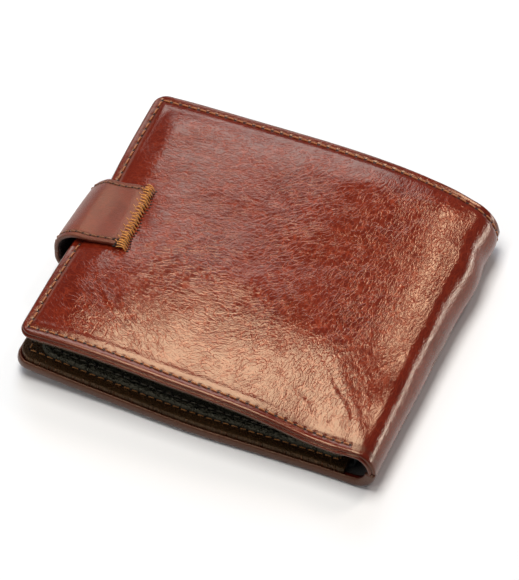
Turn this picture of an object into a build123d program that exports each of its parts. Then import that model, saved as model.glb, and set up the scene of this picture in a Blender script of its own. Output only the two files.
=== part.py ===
from build123d import *
import math
import os

# A leather wallet that opens like a book, with a third panel hinged inside its spine and a closing strap.
# Millimetres and degrees. The origin is on the table under the middle of the closed wallet.
# +X points to the spine, +Y to the edge where banknotes go in, and +Z up.

# Outside of the closed wallet
CLOSED_LENGTH = 104.0  # from the opening edge to the outside of the spine
STRAP_REACH = 5.2  # how far the strap stands out past the opening edge
WIDTH = 90.0  # along the spine
CORNER_R = 4.0
CUT_MARGIN = 1.0  # a sheet is cut from a piece this much larger than its outline
SPINE_R = 7.6  # outside of the half-round spine
EDGE_LIFT = 4.8  # how far the back cover rises off the table at the opening edge
LIFT_RUN = 80.0  # the length over which it rises; the rest is flat on the table
CROWN_R = 369.0  # the front cover's dome
SHOULDER = 9.35  # how far the dome has turned down where it meets the spine

# Depths below the outer surface of a cover, layer by layer
LEATHER = 1.2
STIFFENER = 0.4
LINING = 0.25
NOTE_GAP = 0.3
DIVIDER = 0.3
POCKET_BASE = 0.4
POCKET = 0.4
BACK_POCKETS = 4
FRONT_POCKETS = 3

# Insets from the edges of a cover
STIFFENER_INSET = 4.5
LINING_INSET = 2.0
PANEL_INSET = 1.2
SEAM = 3.0  # width of the sewn rim round a pocket panel
PANEL_SPINE_GAP = 11.0  # from the outside of the spine to the pocket panels
MOUTH_FIRST = 4.0  # from the note edge to the mouth of the deepest card pocket
MOUTH_STEP = 11.0  # between the mouths of two card pockets

# Seams
THREAD = 0.6
THREAD_DEPTH = 0.2
SEAM_LINE = 3.0  # from a cover's edge to its stitching
SEAM_STOP = 2.0  # the bottom edge's stitching stops this far before the spine begins

# The inner leaf, as heights above the back cover's outer surface
LEAF_INSET = 5.5
LEAF_SIDE_INSET = 2.6
LEAF_POCKET = (5.05, 5.45)
LEAF_LOWER = (5.45, 6.05)
LEAF_STIFFENER = (6.05, 6.45)
LEAF_STRIP = (6.45, 6.95)
LEAF_WINDOW = (6.7, 6.95)
LEAF_UPPER = (6.95, 7.55)
LEAF_FRAME = (7.55, 8.0)
LEAF_AXIS_HEIGHT = 6.7
LEAF_AXIS_INSET = 10.2  # from the outside of the spine
LEAF_END_GAP = 0.6  # from the leaf's end to its hinge line
STRIP_LENGTH = 9.0
WINDOW_SIZE = (62.0, 46.0)
FRAME_WIDTH = 5.0

# Closing strap and its press stud
STRAP_WIDTH = 23.5
STRAP_LEATHER = 1.1
STRAP_LINING = 0.7
STRAP_BEND = 3.0  # inside radius of its two bends
STRAP_END = 16.0  # the sewn end, from the opening edge
STRAP_TIP = 24.0  # the free end under the back cover, from the opening edge
STRAP_TIP_R = 6.0
STRAP_CLEARANCE = 0.5  # between the strap and the back cover
STRAP_SEAM = 1.6
NEUTRAL = 4.4  # radius at which the strap's leather keeps its length
TACK = (2.8, 0.25)  # bar tack: width and height
SNAP_X = 14.0  # from the opening edge
FIT_GAP = 0.3  # between the ends of two pieces that meet at a fold

EDGE_X = STRAP_REACH - (CLOSED_LENGTH + STRAP_REACH) / 2
SPINE_C = (EDGE_X + CLOSED_LENGTH - SPINE_R, SPINE_R)
FLAT_X = EDGE_X + LIFT_RUN
BASE_R = (LIFT_RUN**2 + EDGE_LIFT**2) / (2 * EDGE_LIFT)
BASE_C = (FLAT_X, BASE_R)
CROWN_C = (
    SPINE_C[0] + (SPINE_R - CROWN_R) * math.sin(math.radians(SHOULDER)),
    SPINE_C[1] + (SPINE_R - CROWN_R) * math.cos(math.radians(SHOULDER)),
)
PANEL_END = EDGE_X + CLOSED_LENGTH - PANEL_SPINE_GAP
HALF = WIDTH / 2
STRAP = STRAP_LEATHER + STRAP_LINING


def on_circle(centre, radius, angle):
    """The point of a circle in the XZ plane, as (x, z)."""
    turn = math.radians(angle)
    return (centre[0] + radius * math.cos(turn), centre[1] + radius * math.sin(turn))


def low(x, depth):
    """A point of the back cover's family of curves, depth above its outer surface."""
    if x >= FLAT_X:
        return (x, depth)
    return (x, BASE_R - math.sqrt((BASE_R - depth) ** 2 - (x - FLAT_X) ** 2))


def high(x, depth):
    """A point of the front cover's family of curves, depth below its outer surface."""
    return (x, CROWN_C[1] + math.sqrt((CROWN_R - depth) ** 2 - (x - CROWN_C[0]) ** 2))


def low_curves(x_start, x_end, depth):
    """The back cover's curve from left to right: a long arc, then a flat run."""
    curves = []
    arc_end = min(x_end, FLAT_X)
    if x_start < FLAT_X:
        middle = (x_start + arc_end) / 2
        curves.append(ThreePointArc(low(x_start, depth), low(middle, depth), low(arc_end, depth)))
    if x_end > FLAT_X:
        curves.append(Line(low(max(x_start, FLAT_X), depth), low(x_end, depth)))
    return curves


def high_curves(x_start, x_end, depth):
    """The front cover's curve from left to right."""
    middle = (x_start + x_end) / 2
    return [ThreePointArc(high(x_start, depth), high(middle, depth), high(x_end, depth))]


def round_curve(centre, radius, start, end):
    """An arc from one angle to another."""
    middle = (start + end) / 2
    return ThreePointArc(*[on_circle(centre, radius, angle) for angle in (start, middle, end)])


def slab(outer, inner, y_low, y_high):
    """The solid between two chains of curves that both run from left to right."""
    ends = [Line(outer[0] @ 0, inner[0] @ 0), Line(outer[-1] @ 1, inner[-1] @ 1)]
    plane = Plane(origin=(0, y_high, 0), x_dir=(1, 0, 0), z_dir=(0, -1, 0))
    return extrude(plane * make_face(outer + inner + ends), y_high - y_low)


def sector(centre, r_low, r_high, start, end, y_low, y_high):
    """A stretch of round wall between two radii and two angles."""
    return slab(
        [round_curve(centre, r_low, start, end)],
        [round_curve(centre, r_high, start, end)],
        y_low,
        y_high,
    )


def layer(curves, depths, x_range, y_range):
    """A sheet of one of the two halves, between two depths."""
    outer, inner = (curves(*x_range, depth) for depth in depths)
    return slab(outer, inner, *y_range)


def plan(x_low, x_high, y_low, y_high, radius, right=False):
    """An upright block whose left, or right, corners are rounded, for trimming sheets."""
    block = Pos((x_low + x_high) / 2, (y_low + y_high) / 2, 0) * Rectangle(x_high - x_low, y_high - y_low)
    corners = block.vertices().sort_by(Axis.X)
    corners = corners[2:] if right else corners[:2]
    return extrude(Pos(0, 0, -WIDTH) * fillet(corners, radius), 2 * WIDTH)


SPLIT = math.degrees(FIT_GAP / 2 / SPINE_R)
SPINE_QUARTER = 45.0


def back_wrap(depths, y_range):
    """A sheet of the back half that goes on into the first part of the spine's bend."""
    chains = []
    for depth in depths:
        bend = round_curve(SPINE_C, SPINE_R - depth, -90, -SPINE_QUARTER - SPLIT)
        chains.append(low_curves(EDGE_X, SPINE_C[0], depth) + [bend])
    return slab(*chains, *y_range)


def front_wrap(depths, y_range):
    """A sheet of the front half that goes on into the last part of the spine's bend."""
    chains = []
    for depth in depths:
        meet = on_circle(SPINE_C, SPINE_R - depth, 90 - SHOULDER)
        bend = round_curve(SPINE_C, SPINE_R - depth, 90 - SHOULDER, SPINE_QUARTER + SPLIT)
        chains.append(high_curves(EDGE_X, meet[0], depth) + [bend])
    return slab(*chains, *y_range)


def spine_wrap(depths, y_range):
    """The middle of the spine's bend."""
    radii = (SPINE_R - depths[1], SPINE_R - depths[0])
    return sector(SPINE_C, *radii, SPLIT - SPINE_QUARTER, SPINE_QUARTER - SPLIT, *y_range)


def cover_plan():
    """The outline of a cover seen from above."""
    return plan(EDGE_X, EDGE_X + CLOSED_LENGTH + CUT_MARGIN, -HALF, HALF, CORNER_R)


def seam_y(side):
    """Across a seam along the near (-1) or far (+1) edge."""
    line = side * (HALF - SEAM_LINE)
    return (line - THREAD / 2, line + THREAD / 2)


def edge_thread(curves, wrap):
    """A cover's stitching: short of the spine at the bottom edge, into it at the note edge."""
    depths = (0, THREAD_DEPTH)
    seam_x = EDGE_X + SEAM_LINE
    trim = plan(seam_x - THREAD / 2, EDGE_X + CLOSED_LENGTH, -HALF, HALF, THREAD / 4)
    near = layer(curves, depths, (seam_x - THREAD / 2, SPINE_C[0] - SEAM_STOP), seam_y(-1))
    far = wrap(depths, seam_y(1)) & trim
    left = layer(curves, depths, (seam_x - THREAD / 2, seam_x + THREAD / 2), (seam_y(-1)[0], seam_y(1)[1]))
    return near + far + left


def cut_sheet(curves, depths, x_range, y_range):
    """A sheet cut to its outline, with rounded corners at the opening edge."""
    larger_x = (x_range[0] - CUT_MARGIN, x_range[1] + CUT_MARGIN)
    larger_y = (y_range[0] - CUT_MARGIN, y_range[1] + CUT_MARGIN)
    return layer(curves, depths, larger_x, larger_y) & plan(*x_range, *y_range, CORNER_R)


def panel(curves, depths, gap_depths):
    """A sheet of the pocket panel with a rim, sewn to the layer behind it on all but the note edge."""
    x_range = (EDGE_X + PANEL_INSET, PANEL_END)
    y_range = (-HALF + PANEL_INSET, HALF - PANEL_INSET)
    both = (min(*depths, *gap_depths), max(*depths, *gap_depths))
    compartment_x = (x_range[0] + SEAM, x_range[1] - SEAM)
    compartment_y = (y_range[0] + SEAM, HALF)
    return cut_sheet(curves, both, x_range, y_range) - layer(curves, gap_depths, compartment_x, compartment_y)


def card_pocket(curves, start, number, total):
    """One stepped card pocket: number 1 is the nearest to the middle and has the lowest mouth."""
    order = total - number
    depths = (start + order * POCKET, start + (order + 1) * POCKET)
    mouth = HALF - MOUTH_FIRST - order * MOUTH_STEP
    sheet = layer(curves, depths, (EDGE_X, PANEL_END + CUT_MARGIN), (-HALF, mouth))
    return sheet & plan(EDGE_X + PANEL_INSET, PANEL_END, -HALF + PANEL_INSET, HALF, CORNER_R)


def half_nodes(name, curves, wrap, pockets, divided):
    """The covers' layers from outside to inside, as named nodes."""
    nodes = {}
    depth = LEATHER
    thread = edge_thread(curves, wrap)
    nodes[name + "_cover"] = (wrap((0, LEATHER), (-HALF, HALF)) & cover_plan()) - thread
    nodes[name + "_edge_thread"] = thread
    board_x = (EDGE_X + STIFFENER_INSET, PANEL_END)
    board_y = (-HALF + STIFFENER_INSET, HALF - STIFFENER_INSET)
    nodes[name + "_stiffener"] = layer(curves, (depth, depth + STIFFENER), board_x, board_y)
    depth += STIFFENER
    lining = wrap((depth, depth + LINING), (-HALF + LINING_INSET, HALF - LINING_INSET))
    trim = plan(EDGE_X + LINING_INSET, EDGE_X + CLOSED_LENGTH, -HALF, HALF, CORNER_R)
    nodes[name + "_note_lining"] = lining & trim
    depth += LINING
    if divided:
        gap = (depth, depth + NOTE_GAP)
        depth = gap[1] + DIVIDER
        nodes["note_divider"] = panel(curves, (gap[1], depth), gap)
    gap = (depth, depth + NOTE_GAP)
    depth = gap[1] + POCKET_BASE
    nodes[name + "_pocket_base"] = panel(curves, (gap[1], depth), gap)
    for number in range(1, pockets + 1):
        nodes[f"{name}_card_pocket_{number}"] = card_pocket(curves, depth, number, pockets)
    return nodes


def spine_nodes():
    """The middle of the spine: leather, lining, and the note edge's stitching round it."""
    thread = spine_wrap((0, THREAD_DEPTH), seam_y(1))
    lining_depth = LEATHER + STIFFENER
    return {
        "spine_leather": spine_wrap((0, LEATHER), (-HALF, HALF)) - thread,
        "spine_thread": thread,
        "spine_lining": spine_wrap(
            (lining_depth, lining_depth + LINING), (-HALF + LINING_INSET, HALF - LINING_INSET)
        ),
    }


def leaf_nodes():
    """The hinged third panel with its clear window."""
    x_end = EDGE_X + CLOSED_LENGTH - LEAF_AXIS_INSET - LEAF_END_GAP
    x_range = (EDGE_X + LEAF_INSET, x_end)
    y_range = (-HALF + LEAF_SIDE_INSET, HALF - LEAF_SIDE_INSET)
    middle = (x_range[0] + x_range[1]) / 2
    window_x = (middle - WINDOW_SIZE[0] / 2, middle + WINDOW_SIZE[0] / 2)
    window_y = (-WINDOW_SIZE[1] / 2, WINDOW_SIZE[1] / 2)
    opening = layer(low_curves, (LEAF_WINDOW[1], LEAF_FRAME[1]), window_x, window_y)

    def frame_range(window, width):
        return (window[0] - width, window[1] + width)

    board_x = (x_range[0] + SEAM, x_end - STRIP_LENGTH)
    board_y = (y_range[0] + SEAM, y_range[1] - SEAM)
    strip_x = (x_end - STRIP_LENGTH, x_end)
    upper = cut_sheet(low_curves, (LEAF_STIFFENER[0], LEAF_UPPER[1]), x_range, y_range)
    room_x = (board_x[0], x_end + CUT_MARGIN)
    room = layer(low_curves, (LEAF_STIFFENER[0], LEAF_UPPER[0]), room_x, board_y)
    seam_x = (x_range[0] + SEAM / 2, x_end - SEAM / 2)
    seam = (y_range[0] + SEAM / 2, y_range[1] - SEAM / 2)
    top = (LEAF_UPPER[1] - THREAD_DEPTH, LEAF_UPPER[1])
    ring = layer(low_curves, top, seam_x, seam)
    hole = layer(
        low_curves,
        top,
        (seam_x[0] + THREAD, seam_x[1] - THREAD),
        (seam[0] + THREAD, seam[1] - THREAD),
    )
    thread = ring - hole
    frame_x = frame_range(window_x, FRAME_WIDTH)
    frame_y = frame_range(window_y, FRAME_WIDTH)
    pane_x = frame_range(window_x, FRAME_WIDTH / 2)
    pane_y = frame_range(window_y, FRAME_WIDTH / 2)
    pocket_y = (y_range[0], y_range[1] - MOUTH_STEP)
    return {
        "leaf_upper_panel": upper - room - opening - thread,
        "leaf_lower_panel": cut_sheet(low_curves, LEAF_LOWER, x_range, y_range),
        "leaf_stiffener": layer(low_curves, LEAF_STIFFENER, board_x, board_y),
        "leaf_hinge_strip": layer(low_curves, LEAF_STRIP, strip_x, board_y),
        "leaf_card_pocket": cut_sheet(low_curves, LEAF_POCKET, x_range, pocket_y),
        "leaf_window": layer(low_curves, LEAF_WINDOW, pane_x, pane_y),
        "leaf_window_frame": layer(low_curves, LEAF_FRAME, frame_x, frame_y) - opening,
        "leaf_edge_thread": thread,
    }


def strap_bend_centre(centre, radius, upward):
    """The centre of a strap bend that leaves a big circle smoothly and ends upright."""
    x = EDGE_X - STRAP_REACH + STRAP + STRAP_BEND
    rise = math.sqrt((radius - STRAP_BEND) ** 2 - (x - centre[0]) ** 2)
    return (x, centre[1] + upward * rise)


UPPER_BEND = strap_bend_centre(CROWN_C, CROWN_R, 1)
LOWER_BEND = strap_bend_centre(BASE_C, BASE_R + STRAP_CLEARANCE, -1)


def direction(start, end):
    """The angle of the line between two points, from 0 to 360."""
    return math.degrees(math.atan2(end[1] - start[1], end[0] - start[0])) % 360


UPPER_LEAVE = direction(CROWN_C, UPPER_BEND)
LOWER_LEAVE = direction(BASE_C, LOWER_BEND)
UPPER_SPLIT = (UPPER_LEAVE + 180) / 2
LOWER_SPLIT = (LOWER_LEAVE + 180) / 2


def fold_axis(centre, radius, split, half_turn):
    """Where a bend turns about when it opens, for a sheet that keeps its length at that radius."""
    reach = radius * math.radians(half_turn) / math.sin(math.radians(half_turn))
    return on_circle(centre, reach, split)


SPINE_NEUTRAL = SPINE_R - LEATHER / 2
AXES = {
    "spine_fold": fold_axis(SPINE_C, SPINE_NEUTRAL, -SPINE_QUARTER, SPINE_QUARTER),
    "cover_fold": fold_axis(SPINE_C, SPINE_NEUTRAL, SPINE_QUARTER, SPINE_QUARTER),
    "leaf_turn": (EDGE_X + CLOSED_LENGTH - LEAF_AXIS_INSET, LEAF_AXIS_HEIGHT),
    "strap_bend": fold_axis(UPPER_BEND, NEUTRAL, UPPER_SPLIT, UPPER_SPLIT - UPPER_LEAVE),
    "strap_unsnap": fold_axis(LOWER_BEND, NEUTRAL, LOWER_SPLIT, LOWER_LEAVE - LOWER_SPLIT),
}


def strap_layers():
    """The strap's leather and lining, as distances from its inner face."""
    return {"leather": (STRAP_LINING, STRAP), "lining": (0, STRAP_LINING)}


def strap_anchor(inner, outer, y_low, y_high):
    """The stretch sewn on the front cover, and half of the upper bend."""
    end = direction(CROWN_C, high(EDGE_X + STRAP_END, 0))
    split = UPPER_SPLIT - math.degrees(FIT_GAP / 2 / STRAP_BEND)
    run = sector(CROWN_C, CROWN_R + inner, CROWN_R + outer, end, UPPER_LEAVE, y_low, y_high)
    bend = sector(UPPER_BEND, STRAP_BEND + inner, STRAP_BEND + outer, UPPER_LEAVE, split, y_low, y_high)
    return run + bend


def strap_side(inner, outer, y_low, y_high):
    """The upright stretch past the opening edge, with half of each bend."""
    gap = math.degrees(FIT_GAP / 2 / STRAP_BEND)
    radii = (STRAP_BEND + inner, STRAP_BEND + outer)
    top = sector(UPPER_BEND, *radii, UPPER_SPLIT + gap, 180, y_low, y_high)
    bottom = sector(LOWER_BEND, *radii, 180, LOWER_SPLIT - gap, y_low, y_high)
    x_inner = UPPER_BEND[0] - STRAP_BEND
    height = UPPER_BEND[1] - LOWER_BEND[1]
    run = Pos(x_inner - (inner + outer) / 2, (y_low + y_high) / 2, LOWER_BEND[1] + height / 2) * Box(
        outer - inner, y_high - y_low, height
    )
    return top + run + bottom


def strap_tip(inner, outer, y_low, y_high):
    """The free end under the back cover, with half of the lower bend."""
    start = LOWER_SPLIT + math.degrees(FIT_GAP / 2 / STRAP_BEND)
    base = BASE_R + STRAP_CLEARANCE
    end = direction(BASE_C, low(EDGE_X + STRAP_TIP, 0))
    radii = (STRAP_BEND + inner, STRAP_BEND + outer)
    bend = sector(LOWER_BEND, *radii, start, LOWER_LEAVE, y_low, y_high)
    run = sector(BASE_C, base + inner, base + outer, LOWER_LEAVE, end, y_low, y_high)
    end_x = on_circle(BASE_C, base, end)[0]
    half = STRAP_WIDTH / 2
    return (bend + run) & plan(EDGE_X - 2 * STRAP_REACH, end_x, -half, half, STRAP_TIP_R, right=True)


def strap_thread(stretch):
    """Two rows of stitching along a stretch of the strap, flush with its outside."""
    rows = []
    for side in (-1, 1):
        line = side * (STRAP_WIDTH / 2 - STRAP_SEAM)
        rows.append(stretch(STRAP - THREAD_DEPTH, STRAP, line - THREAD / 2, line + THREAD / 2))
    return rows


# Press stud: radii, and heights above the back cover's outer surface at its centre
POST_R = 1.0
POST_HEAD_R = 4.4
STUD_BORE_R = 1.02
STUD_FLANGE = (4.4, 0.0, 0.2)
STUD_NECK_R = 1.4
STUD_HEAD = (1.85, 1.4, 1.8)
SOCKET_FLANGE = (5.0, 0.3, 0.48)
SOCKET_R = 3.6
SOCKET_CHAMBER_R = 2.7
SOCKET_MOUTH_R = 2.5
SOCKET_LIP = 0.5
SOCKET_FLOOR = (1.95, 2.1)
WIRE_R = 0.2
WIRE_HEIGHT = 1.0
WIRE_OFFSET = 1.95
CAP_R = 6.2
CAP_THICK = 0.85
CAP_EDGE = 0.4
HOLE_GAP = 0.05
SEAT_GAP = 0.02  # under a flat disc on a slightly curved sheet

SNAP_POINT = low(EDGE_X + SNAP_X, 0)
SNAP_OUT = direction(BASE_C, SNAP_POINT)
SNAP_PLANE = Plane(
    origin=(SNAP_POINT[0], 0, SNAP_POINT[1]),
    x_dir=(0, 1, 0),
    z_dir=(math.cos(math.radians(SNAP_OUT)), 0, math.sin(math.radians(SNAP_OUT))),
)


def disc(radius, bottom, top):
    """A disc about the press stud's axis between two heights."""
    foot = (Align.CENTER, Align.CENTER, Align.MIN)
    return SNAP_PLANE * Pos(0, 0, bottom) * Cylinder(radius, top - bottom, align=foot)


def snap_nodes():
    """The press stud: stud and post on the back cover, and cap, socket and wires on the strap."""
    strap_outside = STRAP_CLEARANCE + STRAP
    stud = disc(*STUD_FLANGE) + disc(STUD_NECK_R, 0, STUD_HEAD[1]) + disc(*STUD_HEAD)
    post_top = STUD_HEAD[1] - THREAD_DEPTH
    post_base = -LEATHER - SEAT_GAP
    post = disc(POST_HEAD_R, -LEATHER - STIFFENER, post_base) + disc(POST_R, post_base, post_top)
    socket = disc(*SOCKET_FLANGE) + disc(SOCKET_R, SOCKET_FLANGE[1], SOCKET_FLOOR[1])
    socket -= disc(SOCKET_MOUTH_R, SOCKET_FLANGE[1], SOCKET_FLANGE[1] + SOCKET_LIP)
    socket -= disc(SOCKET_CHAMBER_R, SOCKET_FLANGE[1] + SOCKET_LIP, SOCKET_FLOOR[0])
    wire_length = 2 * math.sqrt(SOCKET_CHAMBER_R**2 - (WIRE_OFFSET + WIRE_R) ** 2)
    wire = Pos(0, 0, WIRE_HEIGHT) * Rot(90, 0, 0) * Cylinder(WIRE_R, wire_length)
    wires = [SNAP_PLANE * Pos(side * WIRE_OFFSET, 0, 0) * wire for side in (-1, 1)]
    rim_top = strap_outside + CAP_EDGE
    dome = CAP_THICK - CAP_EDGE
    dome_r = (CAP_R**2 + dome**2) / (2 * dome)
    ball = SNAP_PLANE * Pos(0, 0, rim_top + dome - dome_r) * Sphere(dome_r)
    cap = disc(CAP_R, strap_outside, rim_top + dome) & ball
    return {
        "snap_stud": stud - disc(STUD_BORE_R, 0, post_top),
        "snap_post": post,
        "snap_socket": socket,
        "snap_spring_wires": wires,
        "snap_cap": cap + disc(SOCKET_R, SOCKET_FLOOR[1], strap_outside),
    }


def strap_nodes():
    """The strap in its three stretches, and the bar tack that holds its sewn end."""
    nodes = {}
    half = STRAP_WIDTH / 2
    for name, stretch in (("anchor", strap_anchor), ("side", strap_side), ("tip", strap_tip)):
        rows = strap_thread(stretch)
        for layer_name, span in strap_layers().items():
            nodes[f"strap_{name}_{layer_name}"] = stretch(*span, -half, half)
        nodes[f"strap_{name}_leather"] -= rows[0] + rows[1]
        nodes[f"strap_{name}_thread"] = rows
    snap_hole = disc(SOCKET_R + HOLE_GAP, 0, CAP_R)
    for layer_name in strap_layers():
        nodes[f"strap_tip_{layer_name}"] -= snap_hole
    end = direction(CROWN_C, high(EDGE_X + STRAP_END, 0))
    start = direction(CROWN_C, high(EDGE_X + STRAP_END - TACK[0], 0))
    nodes["strap_bar_tack"] = sector(
        CROWN_C, CROWN_R + STRAP, CROWN_R + STRAP + TACK[1], end, start, THREAD - half, half - THREAD
    )
    return nodes


def wallet():
    """Every node by name."""
    nodes = half_nodes("back", low_curves, back_wrap, BACK_POCKETS, divided=True)
    nodes |= half_nodes("front", high_curves, front_wrap, FRONT_POCKETS, divided=False)
    nodes |= spine_nodes() | leaf_nodes() | strap_nodes() | snap_nodes()
    nodes["back_cover"] -= disc(POST_R + HOLE_GAP, -2 * LEATHER, LEATHER)
    nodes["back_stiffener"] -= disc(POST_HEAD_R + HOLE_GAP, -2 * LEATHER, LEATHER)
    return nodes


os.makedirs("parts", exist_ok=True)
for node_name, shape in wallet().items():
    solids = shape if isinstance(shape, list) else shape.solids()
    export_step(Compound(children=list(solids)), f"parts/{node_name}.step")

for joint_name, (axis_x, axis_z) in AXES.items():
    print(f"{joint_name}: turns about Y at x {axis_x:.3f}, z {axis_z:.3f}")
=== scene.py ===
"""A folded leather wallet with a closing strap: its looks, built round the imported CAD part."""

import math

import bpy
import numpy as np
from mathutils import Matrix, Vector


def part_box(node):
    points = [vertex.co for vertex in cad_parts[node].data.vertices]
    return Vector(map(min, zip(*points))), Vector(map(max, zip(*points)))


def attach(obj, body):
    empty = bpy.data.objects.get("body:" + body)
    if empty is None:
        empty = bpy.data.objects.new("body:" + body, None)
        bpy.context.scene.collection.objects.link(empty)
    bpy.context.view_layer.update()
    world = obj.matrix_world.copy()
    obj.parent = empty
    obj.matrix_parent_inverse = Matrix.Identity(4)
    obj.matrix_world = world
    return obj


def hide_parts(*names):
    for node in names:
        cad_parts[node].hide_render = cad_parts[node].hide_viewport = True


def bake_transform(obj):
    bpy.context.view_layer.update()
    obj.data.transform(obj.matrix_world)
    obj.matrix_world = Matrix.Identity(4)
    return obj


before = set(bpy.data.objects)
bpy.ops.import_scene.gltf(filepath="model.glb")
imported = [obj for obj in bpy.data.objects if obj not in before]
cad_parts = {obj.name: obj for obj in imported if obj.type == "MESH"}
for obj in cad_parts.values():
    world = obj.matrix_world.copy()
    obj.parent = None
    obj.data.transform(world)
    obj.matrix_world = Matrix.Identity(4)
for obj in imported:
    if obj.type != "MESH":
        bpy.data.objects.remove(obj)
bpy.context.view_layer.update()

# Lengths are in millimetres until a mesh is made.
MM = 0.001


def box_mm(node):
    """A CAD node's lowest and highest corners, in millimetres."""
    low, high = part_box(node)
    return np.array(low) / MM, np.array(high) / MM


# ---------------------------------------------------------------- the wallet's driving sizes
COVER_LOW, COVER_HIGH = box_mm("front_cover")
SPINE_LOW, SPINE_HIGH = box_mm("spine_leather")
ANCHOR_HIGH = box_mm("strap_anchor_leather")[1]
TIP_HIGH = box_mm("strap_tip_leather")[1]
PANEL_LOW, PANEL_HIGH = box_mm("back_pocket_base")
LEAF_LOW, LEAF_HIGH = box_mm("leaf_lower_panel")
EDGE_X = COVER_LOW[0]
HALF = COVER_HIGH[1]
SPINE_R = (SPINE_LOW[2] + SPINE_HIGH[2]) / 2
SPINE_X = SPINE_HIGH[0] - SPINE_R
STRAP_HALF = ANCHOR_HIGH[1]
EDGE_LIFT = 4.8
LIFT_RUN = 80.0
CROWN_R = 369.0
SHOULDER = math.radians(9.35)
LEATHER = 1.2
LINING_DEPTH = 1.6
CORNER_R = 4.0
SEAM_LINE = 2.6
STITCH_PITCH = 2.7


# ---------------------------------------------------------------- curves in the XZ plane
class Path:
    """A chain of arcs and straight runs in the XZ plane, measured along its length.

    Every arc curls the same way, and depth is measured towards the arcs' centres."""

    def __init__(self, pieces):
        self.pieces = pieces
        self.starts = np.cumsum([0.0] + [self.length(p) for p in pieces])
        self.total = self.starts[-1]

    @staticmethod
    def length(piece):
        if piece[0] == "arc":
            return piece[3] * abs(piece[5] - piece[4])
        return math.hypot(piece[3] - piece[1], piece[4] - piece[2])

    def at(self, s):
        """(x, z, direction x, direction z) at each length. Past an end, the end piece goes on."""
        s = np.asarray(s, float)
        which = np.clip(np.searchsorted(self.starts, s, side="right") - 1, 0, len(self.pieces) - 1)
        out = np.zeros(s.shape + (4,))
        for i, piece in enumerate(self.pieces):
            here = which == i
            if not here.any():
                continue
            t = s[here] - self.starts[i]
            if piece[0] == "arc":
                _, cx, cz, radius, start, end = piece
                sign = 1.0 if end > start else -1.0
                angle = start + sign * t / radius
                values = (
                    cx + radius * np.cos(angle), cz + radius * np.sin(angle), -sign * np.sin(angle),
                    sign * np.cos(angle),
                )
            else:
                _, x0, z0, x1, z1 = piece
                run = self.length(piece)
                share = t / run
                values = (
                    x0 + share * (x1 - x0), z0 + share * (z1 - z0), np.full(t.shape, (x1 - x0) / run),
                    np.full(t.shape, (z1 - z0) / run),
                )
            out[here] = np.stack(values, -1)
        return out

    def inward(self, at):
        """The direction of growing depth, from what at() gives."""
        return at[..., 3], -at[..., 2]


BASE_R = (LIFT_RUN**2 + EDGE_LIFT**2) / (2 * EDGE_LIFT)
BASE_C = (EDGE_X + LIFT_RUN, BASE_R)
CROWN_C = (
    SPINE_X + (SPINE_R - CROWN_R) * math.sin(SHOULDER), SPINE_R + (SPINE_R - CROWN_R) * math.cos(SHOULDER),
)


def crown_angle(x):
    """Where a point of the dome lies on its circle."""
    return math.acos((x - CROWN_C[0]) / CROWN_R)


def base_angle(x):
    """Where a point of the back cover's rise lies on its circle."""
    return -math.acos((x - BASE_C[0]) / BASE_R)


HIDE = Path(
    [
        ("arc", *CROWN_C, CROWN_R, crown_angle(EDGE_X), math.pi / 2 - SHOULDER),
        ("arc", SPINE_X, SPINE_R, SPINE_R, math.pi / 2 - SHOULDER, -math.pi / 2),
        ("line", SPINE_X, 0.0, BASE_C[0], 0.0), ("arc", *BASE_C, BASE_R, -math.pi / 2, base_angle(EDGE_X)),
    ]
)
DOME_END, SPINE_END, FLAT_END = HIDE.starts[1:4]
SPINE_MIDDLE = DOME_END + SPINE_R * (math.pi / 2 - SHOULDER)


def smooth(t):
    """0 to 1 with flat ends."""
    t = np.clip(t, 0, 1)
    return t * t * (3 - 2 * t)


def hill(t, centre, width):
    """A smooth hill of height 1."""
    return np.exp(-(((t - centre) / width) ** 2))


NEAR_SAG, FAR_RISE, STRAP_PINCH, PUFF = 1.3, 2.3, 2.0, 1.4
ROLL_OFF, CORNER_DROP = 0.9, 1.6
SPINE_SHIFT = 2.35


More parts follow.
